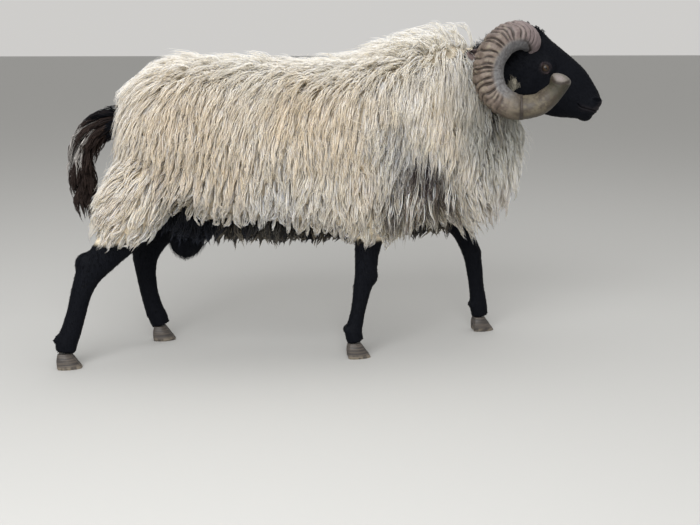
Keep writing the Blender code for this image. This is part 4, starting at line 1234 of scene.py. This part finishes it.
def strands_in_locks(path, facing, count, radius, wave, curl, meeting=1.0):
    """Hairs of each lock: they part at its root, and meet towards its tip by a share each."""
    locks = len(path)
    owner = np.repeat(np.arange(locks), count)
    radius, wave, curl, meeting = (
        np.broadcast_to(part, locks)[owner] for part in (radius, wave, curl, meeting)
    )
    hairs = len(owner)
    share = np.concatenate([[0.0], np.linspace(0.12, 1.0, STRAND_RINGS - 1)])
    share = share[None] * rng.uniform(0.74, 1.0, hairs)[:, None]
    centre = read_along(path[owner], share)
    out = unit(read_along(facing[owner], share))
    along = unit(np.gradient(centre, axis=1))
    out = square_to(out, along)
    across = np.cross(along, out)
    angle, far = rng.uniform(0, 2 * math.pi, hairs), np.sqrt(rng.random(hairs))
    meet = (rng.uniform(0.65, 0.95, hairs) * meeting)[:, None]
    spread = radius[:, None] * (1.0 - meet * smoothstep(share, 0.25, 1.0))
    side = spread * (far * np.cos(angle))[:, None]
    high = spread * (0.7 * far * np.sin(angle))[:, None]
    phase = rng.uniform(0, 2 * math.pi, locks)[owner][:, None]
    own = rng.uniform(0, 2 * math.pi, hairs)[:, None]
    pitch = rng.uniform(1.2, 2.4, locks)[owner][:, None]
    turns = 2 * math.pi * pitch * share + phase
    grow, tip = smoothstep(share, 0.12, 0.55), smoothstep(share, 0.50, 1.0)
    side = side + wave[:, None] * np.sin(turns) * grow
    side = side + 0.0016 * np.sin(2 * math.pi * 2.7 * share + own) * grow
    side = side + curl[:, None] * np.sin(turns * 1.25 + own * 0.15) * tip
    high = high + curl[:, None] * np.cos(turns * 1.25 + own * 0.15) * tip * 0.8
    high = high + 0.0012 * np.cos(2 * math.pi * 2.4 * share + own) * grow
    return centre + across * side[..., None] + out * high[..., None], out, owner


# Fleece


def body_spots(roots):
    """Places on an unwrap of the trunk: along it, and round it from the belly."""
    turn = np.arctan2(roots[:, 1], BODY_AXIS - roots[:, 2])
    return np.stack([roots[:, 0], turn], axis=1)


def comb(points, facing):
    """The way that the wool is laid at places on the body."""
    x, y, z = points.T
    side = np.sign(y) * smoothstep(np.abs(y), 0.0, 0.03)
    back = 0.13 + 0.40 * np.maximum(0, facing[:, 2]) ** 2
    rump = smoothstep(-x, 0.30, 0.46)
    back += rump * (0.10 + 0.50 * fading(z, 0.44, 0.58))
    back -= 0.18 * smoothstep(x, 0.24, 0.38)
    elbow = smoothstep(x, 0.16, 0.23) * fading(x, 0.33, 0.38)
    back -= 0.55 * elbow * fading(z, 0.40, 0.52)
    back += 0.10 * wander(points, 0.30, 3) + 0.13 * wander(points, 0.10, 4)
    side = 0.20 * side + 0.12 * wander(points, 0.14, 5)
    return unit(np.stack([-back, side, -np.ones(len(points))], axis=1))


def held_in(point, slack):
    """Points kept within the reach of the fleece, give or take each lock's own slack."""
    x, y, z = point.T
    front = looked_up(FRONT_REACH, z) + slack
    front = np.minimum(front, 0.315 + 1.6 * np.maximum(0, 0.80 - z) + slack)
    x = np.clip(x, looked_up(REAR_REACH, z) - slack, front)
    return np.stack([x, y, np.minimum(z, looked_up(TOP_REACH, x) + slack)], axis=1)


def lock_paths(skin, form, roots, facing, length, lift, loft, lean, slack):
    """Paths of locks: from the skin out into the fleece, then along it with their tips lifted."""
    under, _normal = nearest(skin, roots - facing * WOOL_DEPTH)
    path, ways = [under], [facing]
    stride = (length / LOCK_STEPS)[:, None]
    point = roots
    for step in range(LOCK_STEPS + 1):
        path.append(point)
        ways.append(facing)
        into = np.minimum((lean * facing).sum(1), 0)[:, None]
        point = point + unit(lean - facing * into) * stride
        near, normal = nearest(form, point)
        height = ((point - near) * normal).sum(1)
        travelled = (step + 1) / LOCK_STEPS
        wanted = loft * math.sin(min(1.0, travelled / 0.45) * math.pi / 2)
        wanted = wanted + lift * travelled * length
        point = held_in(point + normal * np.maximum(0, wanted - height)[:, None], slack)
        facing = unit(facing * 0.5 + normal * 0.5)
    return np.stack(path, axis=1), np.stack(ways, axis=1)


def fleece_form():
    """The surface that the wool is laid over, the same as the solids' core."""
    return fused(body_forms(0.0), 0.012, 3)


def wool_roots(form_mesh):
    """Evenly spread roots of wool, and which of them carry the belly's dark wool, which is partly
    painted shade.
    """
    places, facing = scattered(form_mesh, LOCKS * 5)
    kept = thinned(places, LOCK_SPACING)
    rng.shuffle(kept)
    roots, facing = places[kept], facing[kept]
    x, y, z = roots.T
    black = black_share(roots, ears=False) > 0.5
    belly = black & (x > -0.47) & (x < 0.27) & (z < 0.40) & ((x < 0.02) | (np.abs(y) < 0.075))
    wanted = belly | (~black & (off_ears(roots) > 0.013))
    return tuple(part[wanted][:LOCKS] for part in (roots, facing, belly))


def wool_lengths(roots, belly):
    """How long each lock is: it ends at the hem, give or take a little."""
    count = len(roots)
    length = 0.100 + 0.012 * wander(roots, 0.2, 8) - 0.020 * smoothstep(roots[:, 0], 0.26, 0.38)
    length += 0.020 * fading(roots[:, 2], 0.42, 0.56)
    length = length * rng.uniform(0.70, 1.25, count)
    hem = looked_up(HEM, roots[:, 0] - 0.02) + rng.uniform(-0.014, 0.026, count)
    hem += 0.014 * wander(roots, 0.05, 12)
    hem = np.where(belly, rng.uniform(*BELLY_REACH, count), hem)
    return np.minimum(length, np.maximum((roots[:, 2] - hem) * 1.10, 0.026))


def lay_wool(skin, form, roots, facing, belly):
    """Paths and facings of the fleece's locks, which stand out on the back, mane and rump."""
    count = len(roots)
    x, _y, z = roots.T
    lean = comb(roots, facing)
    lean[belly] = unit(np.array([-0.25, 0.0, -1.0]) + rng.normal(size=(belly.sum(), 3)) * 0.22)
    length = wool_lengths(roots, belly)
    top = smoothstep(facing[:, 2], 0.62, 0.95)
    tuft = (rng.random(count) < 0.06) * top
    lift = rng.uniform(0.03, 0.16, count) + top * rng.uniform(0.0, 0.06, count) + 0.30 * tuft
    loft = rng.uniform(0.004, 0.018, count) + top * 0.010
    mane = top * smoothstep(x, 0.06, 0.16)
    lift += mane * rng.uniform(0.0, 0.5, count)
    lift += top * smoothstep(-x, 0.38, 0.50) * rng.uniform(0.0, 0.40, count)
    loft += mane * rng.uniform(0.0, 0.012, count)
    crest = mane * smoothstep(x, 0.20, 0.29) * (rng.random(count) < 0.45)
    loft += crest * rng.uniform(0.0, 0.030, count)
    upward = np.array([-0.35, 0.0, 0.9])
    lean = unit(lean * (1 - 0.8 * crest[:, None]) + upward * 0.8 * crest[:, None])
    lean = unit(lean + top[:, None] * rng.normal(size=(count, 3)) * 0.10)
    slack = rng.uniform(-0.013, 0.007, count) + (mane + tuft) * rng.uniform(0.0, 0.018, count)
    slack -= 0.012 * (smoothstep(x, 0.36, 0.44) * fading(z, 0.56, 0.66))
    slack += smoothstep(-x, 0.46, 0.54) * rng.uniform(-0.012, 0.020, count)
    path, ways = lock_paths(skin, form, roots, facing, length, lift, loft, lean, slack)
    return gathered(path, roots, belly), ways


def gathered(path, roots, belly):
    """Locks drawn together towards their tips into wisps, more so low on the body."""
    kinds = np.column_stack([roots, belly * 10.0])
    guides = thinned(kinds, WISP_SPACING)
    far = (kinds**2).sum(1)[:, None] + (kinds[guides] ** 2).sum(1)[None] - 2 * kinds @ kinds[guides].T
    leader = guides[far.argmin(1)]
    amount = 0.10 + 0.78 * fading(roots[:, 2], 0.44, 0.68)
    amount = amount * rng.uniform(0.85, 1.0, len(roots))
    reached = np.linspace(0, 1, path.shape[1])[None]
    beside = read_along(path[leader], reached * rng.uniform(0.62, 1.0, len(roots))[:, None])
    pull = amount[:, None] * smoothstep(reached, 0.15, 0.90)
    path = path + (beside - path) * pull[..., None]
    low = roots[:, 2] < 0.50
    path[low, :, 2] = np.minimum.accumulate(path[low, :, 2], axis=1)
    return path


def wool_strands(path, ways, roots, facing, belly):
    """Strands of the wool's locks: thick and wispy low down, fluffy on the back, tangled at the neck."""
    count = len(roots)
    low = fading(roots[:, 2] - 0.10 * smoothstep(roots[:, 0], 0.0, 0.15), 0.36, 0.56)
    fluff = smoothstep(roots[:, 2] + 0.06 * facing[:, 2], 0.56, 0.74)
    radius = rng.uniform(0.0040, 0.0062, count) * (1 + 0.45 * low + 0.75 * fluff)
    wave = rng.uniform(0.0008, 0.0022, count) * (1 + 0.9 * low)
    curl = rng.uniform(0.0004, 0.0024, count) * (0.35 + 0.9 * low)
    tangle = fading(np.linalg.norm(roots * [1, 0, 1] - np.array(TANGLE), axis=1), 0.06, 0.15)
    curl += 0.0032 * tangle
    wave += 0.0025 * tangle
    short = np.clip(np.linalg.norm(path[:, -1] - path[:, 0], axis=1) / 0.09, 0.12, 1.0)
    curl, wave, radius = curl * short, wave * short, radius * (0.45 + 0.55 * short)
    hairs = np.where(low > 0.5, 5, 7) + (fluff > 0.7)
    centre, out, owner = strands_in_locks(path, ways, hairs, radius, wave, curl, 1 - 0.9 * fluff)
    width = rng.uniform(0.0023, 0.0034, len(centre))
    width = (width * (1 + 0.35 * low[owner] - 0.14 * fluff[owner]))[:, None] * WOOL_PROFILE
    shade = 0.16 * rng.normal(size=count)[owner] + 0.13 * rng.normal(size=len(centre))
    shade = np.clip(0.5 + shade * (1 - 0.5 * fluff[owner]), 0, 1)
    # the belly's locks black: partly dark wool, partly painted shade under the body
    black = np.where(belly, rng.uniform(0.95, 1.0, count), 0.0)
    black = np.where(belly & (roots[:, 0] < -0.34), 1.0, black)[owner]
    root = path[:, 0][owner]
    return hair_of(centre, out, width, root, body_spots(root), facing[owner], shade, black)


def frizz_strands(skin, form, roots, facing, belly):
    """Thin stray hairs over the upper part of the wool."""
    picked = rng.choice(np.flatnonzero((facing[:, 2] > -0.05) & ~belly), FRIZZ)
    roots, facing = roots[picked] + rng.normal(size=(FRIZZ, 3)) * 0.004, facing[picked]
    lean = unit(comb(roots, facing) + rng.normal(size=(FRIZZ, 3)) * 0.35)
    length, lift = rng.uniform(0.045, 0.085, FRIZZ), rng.uniform(0.15, 0.5, FRIZZ)
    loft, slack = rng.uniform(0.008, 0.022, FRIZZ), rng.uniform(-0.004, 0.010, FRIZZ)
    path, ways = lock_paths(skin, form, roots, facing, length, lift, loft, lean, slack)
    curl = rng.uniform(0.001, 0.004, FRIZZ)
    centre, out, _owner = strands_in_locks(path, ways, 1, 0.0, 0.0025, curl)
    width = rng.uniform(0.0010, 0.0016, FRIZZ)[:, None] * WOOL_PROFILE
    root, shade = path[:, 0], rng.uniform(0.5, 1.0, FRIZZ)
    return hair_of(centre, out, width, root, body_spots(root), facing, shade, 0.0)


def grow_wool(skin):
    """The fleece, in pieces small enough to export."""
    form_mesh = fleece_form()
    form = tree_of(form_mesh)
    roots, facing, belly = wool_roots(form_mesh)
    path, ways = lay_wool(skin, form, roots, facing, belly)
    clear = off_ears(path.reshape(-1, 3)).reshape(len(path), -1).min(1) > 0.011
    clear &= (past_poll(path).max(1) < 0.0) | (roots[:, 2] < 0.74)
    path, ways, roots, facing, belly = (part[clear] for part in (path, ways, roots, facing, belly))
    locks = wool_strands(path, ways, roots, facing, belly)
    frizz = frizz_strands(skin, form, roots, facing, belly)
    hair = Hair(*(np.concatenate(both) for both in zip(locks, frizz)))
    order = np.argsort(hair.root[:, 0], kind="stable")
    made = []
    for side in (-1, 1):
        beside = order[np.sign(hair.root[order, 1] + 1e-9) == side]
        for chosen in np.array_split(beside, WOOL_PIECES):
            piece = Hair(*(part[chosen] for part in hair))
            made.append(hair_object(f"wool_{len(made) + 1}", piece, 0.55))
    return made


# Hair of the tail and the poll


def lay_tail(start):
    """Roots and paths of the tail's locks, the ways that they face, and their places round it."""
    count = len(start)
    reach = spline([*TAIL_PATH, TAIL_TIP], 200)
    way = unit(np.gradient(reach[:, :3], axis=0))
    aside = np.array([0.0, 1.0, 0.0])
    outer = unit(np.cross(way, aside))
    share = start[:, None] + np.linspace(0, 1, 10)[None] * rng.uniform(0.14, 0.24, count)[:, None]
    at = np.clip(share, 0, 1) * (len(reach) - 1)
    low = np.minimum(at.astype(int), len(reach) - 2)
    part = (at - low)[..., None]
    middle = reach[low] * (1 - part) + reach[low + 1] * part
    begun = share - start[:, None]
    turn = rng.uniform(0, 2 * math.pi, count)[:, None]
    turn = turn + rng.normal(size=(count, 1)) * 0.5 * begun
    out = outer[low] * np.cos(turn)[..., None] + aside * np.sin(turn)[..., None]
    grown = smoothstep(begun, 0.0, 0.12) * rng.uniform(0.55, 1.15, count)[:, None]
    far = middle[..., 3] + TAIL_HAIR * grown * (1 - 0.50 * smoothstep(share, 0.88, 1.04))
    path = middle[..., :3] + out * far[..., None]
    path = path + way[-1] * np.maximum(0, share - 1)[..., None] * 0.35
    return middle[:, 0, :3], path, out, turn[:, 0]


def grow_tail():
    """Long coarse hair that wraps the tail, with whitish streaks on its outer side."""
    start = rng.uniform(0.14, 0.80, TAIL_LOCKS)
    root, path, facing, turn = lay_tail(start)
    wave = rng.uniform(0.001, 0.003, TAIL_LOCKS)
    radius = rng.uniform(0.004, 0.007, TAIL_LOCKS)
    centre, out, owner = strands_in_locks(path, facing, 7, radius, wave, wave)
    width = tapering(len(centre), 0.0022, 0.0034, 2.4)
    outer = (np.cos(turn) < 0.10) & (start > 0.34) & (start < 0.56)
    streak = outer * (rng.random(TAIL_LOCKS) < 0.60)
    shade = rng.random(TAIL_LOCKS)[owner]
    streak = streak[owner] * rng.uniform(0.2, 1.0, len(owner))
    spot = np.stack([start, np.mod(turn, 2 * math.pi)], axis=1)[owner]
    facing = facing[:, 0][owner]
    hair = hair_of(centre, out, width, root[owner], spot, facing, shade, streak=streak)
    return hair_object("tail_hair", hair, 0.5)


def poll_share(places):
    """Where long black hair grows: between the horns, down the nape and on top of the ears."""
    local = on_head_axes(places)
    crown = (local[:, 2] > -0.030) * (local[:, 0] < 0.045)
    nape = (places[:, 2] > 0.735) * (places[:, 0] < 0.42)
    ear = (off_ears(places) < 0.030) * (places[:, 2] > 0.772) * 0.8
    return np.maximum((past_poll(places) > -0.004) * np.maximum(crown, nape), ear)


def throat_share(places):
    """Where pale wool shows behind the cheek, inside the curl of each horn."""
    aside = places * [1, -1, 1]
    far = [np.linalg.norm(p - np.array(c), axis=1) / r for p in (places, aside) for c, r in THROAT]
    return np.exp(-(np.min(far, axis=0) ** 2)) + 1e-12


def lay_poll(roots, facing, throat):
    """Which way each lock of the poll leans, and how long it is."""
    count = len(roots)
    nape = fading(roots[:, 0], 0.370, 0.405)
    ear = off_ears(roots) < 0.030
    ahead = np.array(HEAD.to_3x3()) @ np.array([-0.8, 0.0, 0.10])
    lean = ahead * (1 - nape[:, None]) + np.array([-0.65, 0.0, 0.65]) * nape[:, None]
    lean[throat] = np.array([-0.30, 0.0, 0.85])
    lean = unit(lean + rng.normal(size=lean.shape) * 0.22)
    lean = unit(lean - facing * np.minimum(0, (lean * facing).sum(1, keepdims=True)))
    front = smoothstep(on_head_axes(roots)[:, 0], -0.005, 0.045)
    size = rng.uniform(0.006, 0.010, count) * (1 - nape) * (1 - 0.3 * front)
    size = size + rng.uniform(0.022, 0.036, count) * nape * np.where(ear, 0.5, 1.0)
    size[throat] = rng.uniform(0.013, 0.024, throat.sum())
    return lean, size


def grow_poll(skin_mesh):
    """Black hair on and behind the poll, and pale tufts inside the horns' curl."""
    poll = scattered(skin_mesh, POLL_LOCKS, poll_share)
    pale = scattered(skin_mesh, THROAT_LOCKS, throat_share)
    roots, facing = (np.concatenate(both) for both in zip(poll, pale))
    count = len(roots)
    throat = np.arange(count) >= POLL_LOCKS
    lean, size = lay_poll(roots, facing, throat)
    share = np.linspace(0, 1, 8)
    rise = np.sin(share * math.pi * 0.55)[None, :, None]
    path = roots[:, None] + lean[:, None] * (size[:, None] * share[None])[..., None]
    path = path + facing[:, None] * rise * (size * rng.uniform(0.08, 0.25, count))[:, None, None]
    ways = np.repeat(facing[:, None], len(share), axis=1)
    wave = rng.uniform(0.0008, 0.0022, count)
    centre, out, owner = strands_in_locks(path, ways, 5, 0.0060, wave, wave, 0.5)
    width = tapering(len(centre), 0.0013, 0.0022, 1.8)
    shade, black = rng.random(count)[owner], np.where(throat, 0.45, 1.0)[owner]
    root = roots[owner]
    hair = hair_of(centre, out, width, root, root[:, :2], facing[owner], shade, black)
    return hair_object("poll_hair", hair, 0.5)


# Horns, eyes and hooves


def turned_from(turn, centre):
    """Angle from a centre, the short way round."""
    return np.angle(np.exp(1j * (turn - centre)))


def horn_frames(path):
    """Ways out of the head and in to the curl at each ring of a horn."""
    way = unit(np.gradient(path, axis=0))
    out = unit(np.array([0.0, 1.0, 0.0]) - way * way[:, 1:2])
    return out[:, None], np.cross(way, out)[:, None]


def horn_ridges(share, turn, where, rough, side):
    """How ridged a horn is, the height of its ridges and the depth of the grooves between."""
    chance = np.random.default_rng(SEED + side)
    spacing = np.cumsum(chance.uniform(0.6, 1.4, HORN_RIDGES + 1))
    places = 0.03 + spacing / spacing[-1] * (HORN_SMOOTH_FROM - 0.03)
    depths = chance.uniform(0.55, 1.0, HORN_RIDGES + 1)
    gap = np.abs(where[..., None] - places)
    depth = depths[gap.argmin(-1)] * (0.55 + 0.45 * smoothstep(rough, -0.6, 0.2))
    gap = gap.min(-1)
    root, face = fading(share, *HORN_ROOT), turned_from(turn, 0.0)
    fade = smoothstep(HORN_SMOOTH_FROM - share, -0.03, 0.09)
    ridged = fading(face, -0.05, 0.52) * (1 - 0.4 * smoothstep(-face, 1.9, 2.6))
    ridged = np.maximum(ridged, 0.12) * fade * depth * (1 - 0.40 * root)
    notch = bell(gap, 0, 0.0042) * bell(face, 0.10, 0.24) * depth
    groove = bell(gap, 0, 0.0036) * ridged * 1.15 + 0.9 * notch * fade * (1 - 0.6 * root)
    bulge = -0.5 * np.cos(np.clip(gap / 0.0115, 0, 1) * math.pi) * ridged
    return ridged, bulge, groove


def horn_relief(share, turn, side):
    """Radius, grooves and pale inner face of a horn, over its length and round it."""
    grid = np.stack([12 * share, 0.9 * np.cos(turn), 0.9 * np.sin(turn)], axis=-1).reshape(-1, 3)
    wobble = wander(grid, 1.3, 21 + side).reshape(share.shape)
    rough = wander(grid, 0.45, 23).reshape(share.shape)
    where = share + 0.007 * np.cos(turn - 0.9) + 0.006 * wobble
    ridged, bulge, groove = horn_ridges(share, turn, where, rough, side)
    root, face = fading(share, *HORN_ROOT), turned_from(turn, 0.0)
    crack = bell(share - HORN_CRACK - 0.003 * wobble, 0, 0.0056) * (np.abs(face) < 1.5)
    channel = root * bell(turned_from(turn, 0.46), 0, 0.11)
    keel = bell(turned_from(turn, 0.42 - 0.22 * root), 0, 0.24) * (0.35 + 0.65 * root)
    flat = bell(turned_from(turn, 1.35), 0, 0.5) * (1 - share)
    shape = 1.0 + 0.045 * np.cos(3 * turn + 0.6) + 0.075 * keel - 0.06 * flat
    shape += 0.034 * rough * ridged + 0.010 * wobble + 0.006 * np.sin(230 * where + 2 * wobble)
    shape += 0.004 * np.sin(517 * where) - 0.025 * smoothstep(share, HORN_CRACK, HORN_CRACK + 0.006)
    shape += 0.075 * bulge - 0.12 * groove - 0.09 * crack - 0.085 * channel
    inner = smoothstep(face, 0.20, 0.55) * fading(face, 2.2, 2.7)
    inner = inner * (1 - 0.9 * smoothstep(share, 0.54, 0.64))
    # the second number is the dark paint of grooves, crack and keel channel, partly painted shade
    return shape, np.clip(groove + crack + 0.8 * channel, 0, 1), inner


def worn_tip(points):
    """A horn with its blunt tip worn flat on one side, and how far each place is part of that."""
    centre, way, depth = (np.array(part) for part in HORN_FACET)
    way = unit(way)
    offset = points - centre
    out = offset @ way
    near = np.linalg.norm(offset, axis=1) < 0.045
    past = np.maximum(out - depth, 0) * near
    off = np.linalg.norm(offset - out[:, None] * way, axis=1)
    # a painted shade line along the worn face's lower edge, under the tip's overhang
    crease = bell(off, 0.0215, 0.0024) * near * (out > 0.004) * (offset[:, 2] < 0.010)
    return points - way * (past * 0.50)[:, None], smoothstep(past, 0.0, 0.007), crease


def build_horn(name, side):
    """A curled horn: broken ridges outside, a keel, a smooth inner face and a blunt tip."""
    rows = spline(HORN_PATH, HORN_RINGS)
    along, around = np.linspace(0, 1, HORN_RINGS), round_turns(HORN_SIDES)
    share, turn = np.meshgrid(along, around, indexing="ij")
    path = rows[:, [0, 2, 1]]
    out, inward = horn_frames(path)
    shape, groove, inner = horn_relief(share, turn, side)
    closing = np.sqrt(1 - np.clip((share - 0.955) / 0.0455, 0, 1) ** 2)
    radius = (rows[:, 3:] * shape * closing)[..., None]
    rings = path[:, None] + out * np.cos(turn)[..., None] * radius * 0.96
    rings = rings + inward * np.sin(turn)[..., None] * radius
    points, faces = loft_form(rings)
    points, worn, crease = worn_tip(points)
    points = points * [1, side, 1]
    mesh = mesh_of([(in_frame(carried(LEVEL, points)), faces)], name)
    give(mesh, "along", share.ravel())
    # dark paint of grooves and crease, partly painted shade
    give(mesh, "groove", np.clip(groove.ravel() + 0.8 * crease, 0, 1))
    give(mesh, "pale", inner.ravel())
    give(mesh, "worn", worn)
    grain = np.stack([18 * share, 1.2 * np.cos(turn), 1.2 * np.sin(turn)], axis=-1)
    give(mesh, "grain", grain.reshape(-1, 3))
    mesh.shade_smooth()
    return new_object(name, mesh)


def build_eye(name, side):
    """An eyeball with a bulging cornea, its gaze stored for the iris."""
    points, faces = ellipsoid_form((0, 0, 0), (1, 1, 1), 0.0, 48, 32)
    points = unit(points)
    gaze = unit(np.array([0.10, side, 0.04]))
    forward = unit(np.cross(gaze, np.array([0.0, 0.0, 1.0])))
    up = np.cross(forward, gaze)
    look = np.stack([points @ forward, points @ gaze, points @ up], axis=1)
    bulge = 1 + 0.045 * smoothstep(look[:, 1], 0.72, 1.0)
    local = points * (EYE_RADIUS * bulge)[:, None] + eye_centre(side)
    mesh = mesh_of([(in_frame(carried(HEAD, local)), faces)], name)
    give(mesh, "gaze", look)
    mesh.shade_smooth()
    return new_object(name, mesh)


def build_claw(name, centre_x, centre_y, side):
    """One claw of a cloven hoof, with fine growth lines and a worn edge."""
    turn = round_turns(44)
    rings = []
    for height, back, front, outer in spline(CLAW_LEVELS, 40):
        x0, x1 = back * CLAW_LENGTH, front * CLAW_LENGTH
        share = (np.cos(turn) + 1) / 2
        ripple = 1 + 0.010 * math.sin(62 * height) + 0.006 * math.sin(141 * height)
        wide = 2 * outer * CLAW_WIDTH * ripple
        point = np.maximum(0.0, share - 0.5) * 2
        y = CLEFT / 2 + wide * (0.5 + 0.5 * power(np.sin(turn), 0.75)) * (1 - 0.35 * point**2)
        x = x0 + (x1 - x0) * share * ripple
        rings.append(np.stack([x, y, np.full_like(x, max(height, 0.0) * CLAW_HEIGHT)], axis=1))
    points, faces = loft_form(rings)
    turn_in = Matrix.Rotation(math.radians(-TOE_TURN), 4, "Z")
    place = Matrix.Translation((centre_x, centre_y, 0)) @ Matrix.Diagonal((1, side, 1, 1)) @ turn_in
    mesh = mesh_of([(in_frame(carried(place, points)), faces)], name)
    mesh.shade_smooth()
    return new_object(name, mesh)


# Short hair of the face, ears and legs


def on_head(points):
    return (on_head_axes(points)[:, 0] > -0.06) & (points[:, 2] > 0.56) & (points[:, 0] > 0.36)


def lie_of_hair(points):
    """The way that the short hair lies: up and back over the face, down the legs."""
    a, y, n = on_head_axes(points).T
    outward = -0.25 - 0.5 * smoothstep(-n, 0.0, 0.1)
    back = np.stack([-np.ones_like(a), 0.3 * np.sign(y), outward], axis=1)
    down = np.tile([-0.12, 0.0, -1.0], (len(points), 1))
    return unit(np.where(on_head(points)[:, None], back @ np.array(HEAD.to_3x3()).T, down))


def face_spots(roots):
    """Places on an unwrap of the head: along it, and round it from the throat."""
    a, y, n = on_head_axes(roots).T
    return np.stack([a, np.arctan2(y, -0.04 - n)], axis=1)


def leg_spots(roots):
    """Places on an unwrap of the legs, side by side: round each, and up it."""
    leg = (roots[:, 0] > -0.2) * 2 + (roots[:, 1] > 0)
    middle = np.array([np.median(roots[leg == i][:, :2], axis=0) for i in range(4)])[leg]
    turn = np.arctan2(*(roots[:, :2] - middle).T) / (2 * math.pi) + 0.5
    return np.stack([(leg + turn) / 4, roots[:, 2]], axis=1)


def face_share(places):
    black = black_share(places) > 0.9
    return on_head(places) * black * (on_head_axes(places)[:, 0] < 0.285) * 1.0


def leg_share(places):
    return (black_share(places) > 0.9) * (places[:, 2] < 0.36) * (places[:, 2] > 0.046) * 1.0


def face_length(places):
    return 0.0035 + 0.005 * smoothstep(-on_head_axes(places)[:, 0], -0.14, 0.02)


def leg_length(places):
    """Longer up the leg, and longest on the purse."""
    purse = (np.abs(places[:, 0] + 0.425) < 0.07) * (np.abs(places[:, 1]) < 0.055)
    return 0.005 + 0.004 * smoothstep(places[:, 2], 0.1, 0.3) + 0.013 * purse * (places[:, 2] > 0.24)


def grow_short(name, mesh, where, length, width, spots):
    """Small flat tufts over part of the skin."""
    count = SHORT_TUFTS
    roots, facing = scattered(mesh, count, where)
    lie = lie_of_hair(roots)
    lie = unit(lie + rng.normal(size=lie.shape) * 0.16)
    flat = square_to(lie, facing)
    size = (length(roots) * rng.uniform(0.7, 1.3, count))[:, None]
    rise = 0.12 * rng.uniform(0.6, 1.6, (count, 1))
    middle = roots + flat * size * 0.45 + facing * (size * rise * 0.6 + 0.0002)
    tip = roots + flat * size + facing * size * rise
    centre = np.stack([roots - facing * 0.0006, middle, tip], axis=1)
    out = np.repeat(facing[:, None], 3, axis=1)
    wide = rng.uniform(0.75, 1.25, count)[:, None] * width * np.array([0.8, 1.0, 0.0])[None]
    hair = hair_of(centre, out, wide, roots, spots(roots), facing, rng.random(count))
    return hair_object(name, hair, 0.4)


# Stage


def build_floor():
    corners = np.array(((-1, -1, 0), (1, -1, 0), (1, 1, 0), (-1, 1, 0))) * FLOOR_REACH
    mesh = bpy.data.meshes.new("floor")
    mesh.from_pydata(corners.tolist(), [], [(0, 1, 2, 3)])
    material, _graph = new_material("floor", 0.9, Base_Color=(0.44, 0.44, 0.43, 1))
    mesh.materials.append(material)
    new_object("floor", mesh)


def build_light():
    """A pale sky and two soft lamps, one high behind the camera and one overhead."""
    world = bpy.data.worlds.new("world")
    world.use_nodes = True
    sky = world.node_tree.nodes["Background"].inputs
    sky["Color"].default_value = (1.0, 0.985, 0.96, 1)
    sky["Strength"].default_value = 0.62
    bpy.context.scene.world = world
    for name, place, size, energy in LAMPS:
        lamp = bpy.data.lights.new(name, "AREA")
        lamp.size, lamp.energy = size, energy
        lit = new_object(name, lamp)
        lit.location = place
        lit.rotation_euler = (Vector(LIT) - Vector(place)).to_track_quat("-Z", "Y").to_euler()


def build_camera():
    """The photograph's own view."""
    camera = bpy.data.cameras.new("camera")
    camera.lens, camera.sensor_width = 54.0, 36.0
    seen = new_object("camera", camera)
    seen.location = Vector(CAMERA) + Vector((SHIFT.x, SHIFT.y, 0))
    seen.rotation_euler = (math.radians(90 - CAMERA_DIP), 0.0, math.radians(CAMERA_TURN))
    bpy.context.scene.camera = seen


# The whole animal


def finished(piece, material, slot, *nodes):
    """Gives a finished piece its material and its place in the frame."""
    piece.data.materials.clear()
    piece.data.materials.append(material)
    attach(piece, "root")
    if nodes:
        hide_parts(*nodes)


def build_coat():
    """Skin, fleece and hair, from one skin mesh that the hair grows on."""
    skin_mesh = build_skin()
    wool = grow_wool(tree_of(skin_mesh))
    hair = [
        grow_tail(),
        grow_poll(skin_mesh),
        grow_short("face_hair", skin_mesh, face_share, face_length, 0.0010, face_spots),
        grow_short("leg_hair", skin_mesh, leg_share, leg_length, 0.0011, leg_spots),
    ]
    set_positions(skin_mesh, in_frame(positions(skin_mesh)))
    skin_mesh.shade_smooth()
    flesh = [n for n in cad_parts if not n.startswith(("horn", "eye")) and "claw" not in n]
    finished(new_object("skin", skin_mesh), skin_material(), "black_hair", *flesh)
    wool_material = coat_material(
        "wool", 0.9, 0.92, 0.16, 0.45, Specular_IOR_Level=0.15, Subsurface_Weight=0.9,
        Subsurface_Scale=0.016, Subsurface_Radius=(1.0, 0.9, 0.7),
    )
    for piece in wool:
        finished(piece, wool_material, "fleece")
    hair_material = coat_material("hair", 0.65, 0.8, 0.30, 0.4, Specular_IOR_Level=0.05)
    for piece in hair:
        finished(piece, hair_material, "black_hair")


def build_hard_parts():
    """Horns, eyes and claws, each in place of its own node."""
    horn, hoof, eye = horn_material(), hoof_material(), eye_material()
    sides = ("right", -1), ("left", 1)
    for label, side in sides:
        finished(build_horn("ram_horn_" + label, side), horn, "horn", "horn_" + label)
        finished(build_eye("eyeball_" + label, side), eye, "eye", "eye_" + label)
    for name, rows in LEGS.items():
        for label, side in sides:
            node = name.replace("leg", "claw") + "_" + label
            claw = build_claw("fine_" + node, rows[-1][0] + 0.004, rows[-1][1], side)
            finished(claw, hoof, "hoof", node)


def main():
    """The stage, and the animal in place of its solids."""
    bpy.context.scene.view_settings.view_transform = "Standard"
    build_floor()
    build_light()
    build_camera()
    build_markings()
    build_coat()
    build_hard_parts()


main()
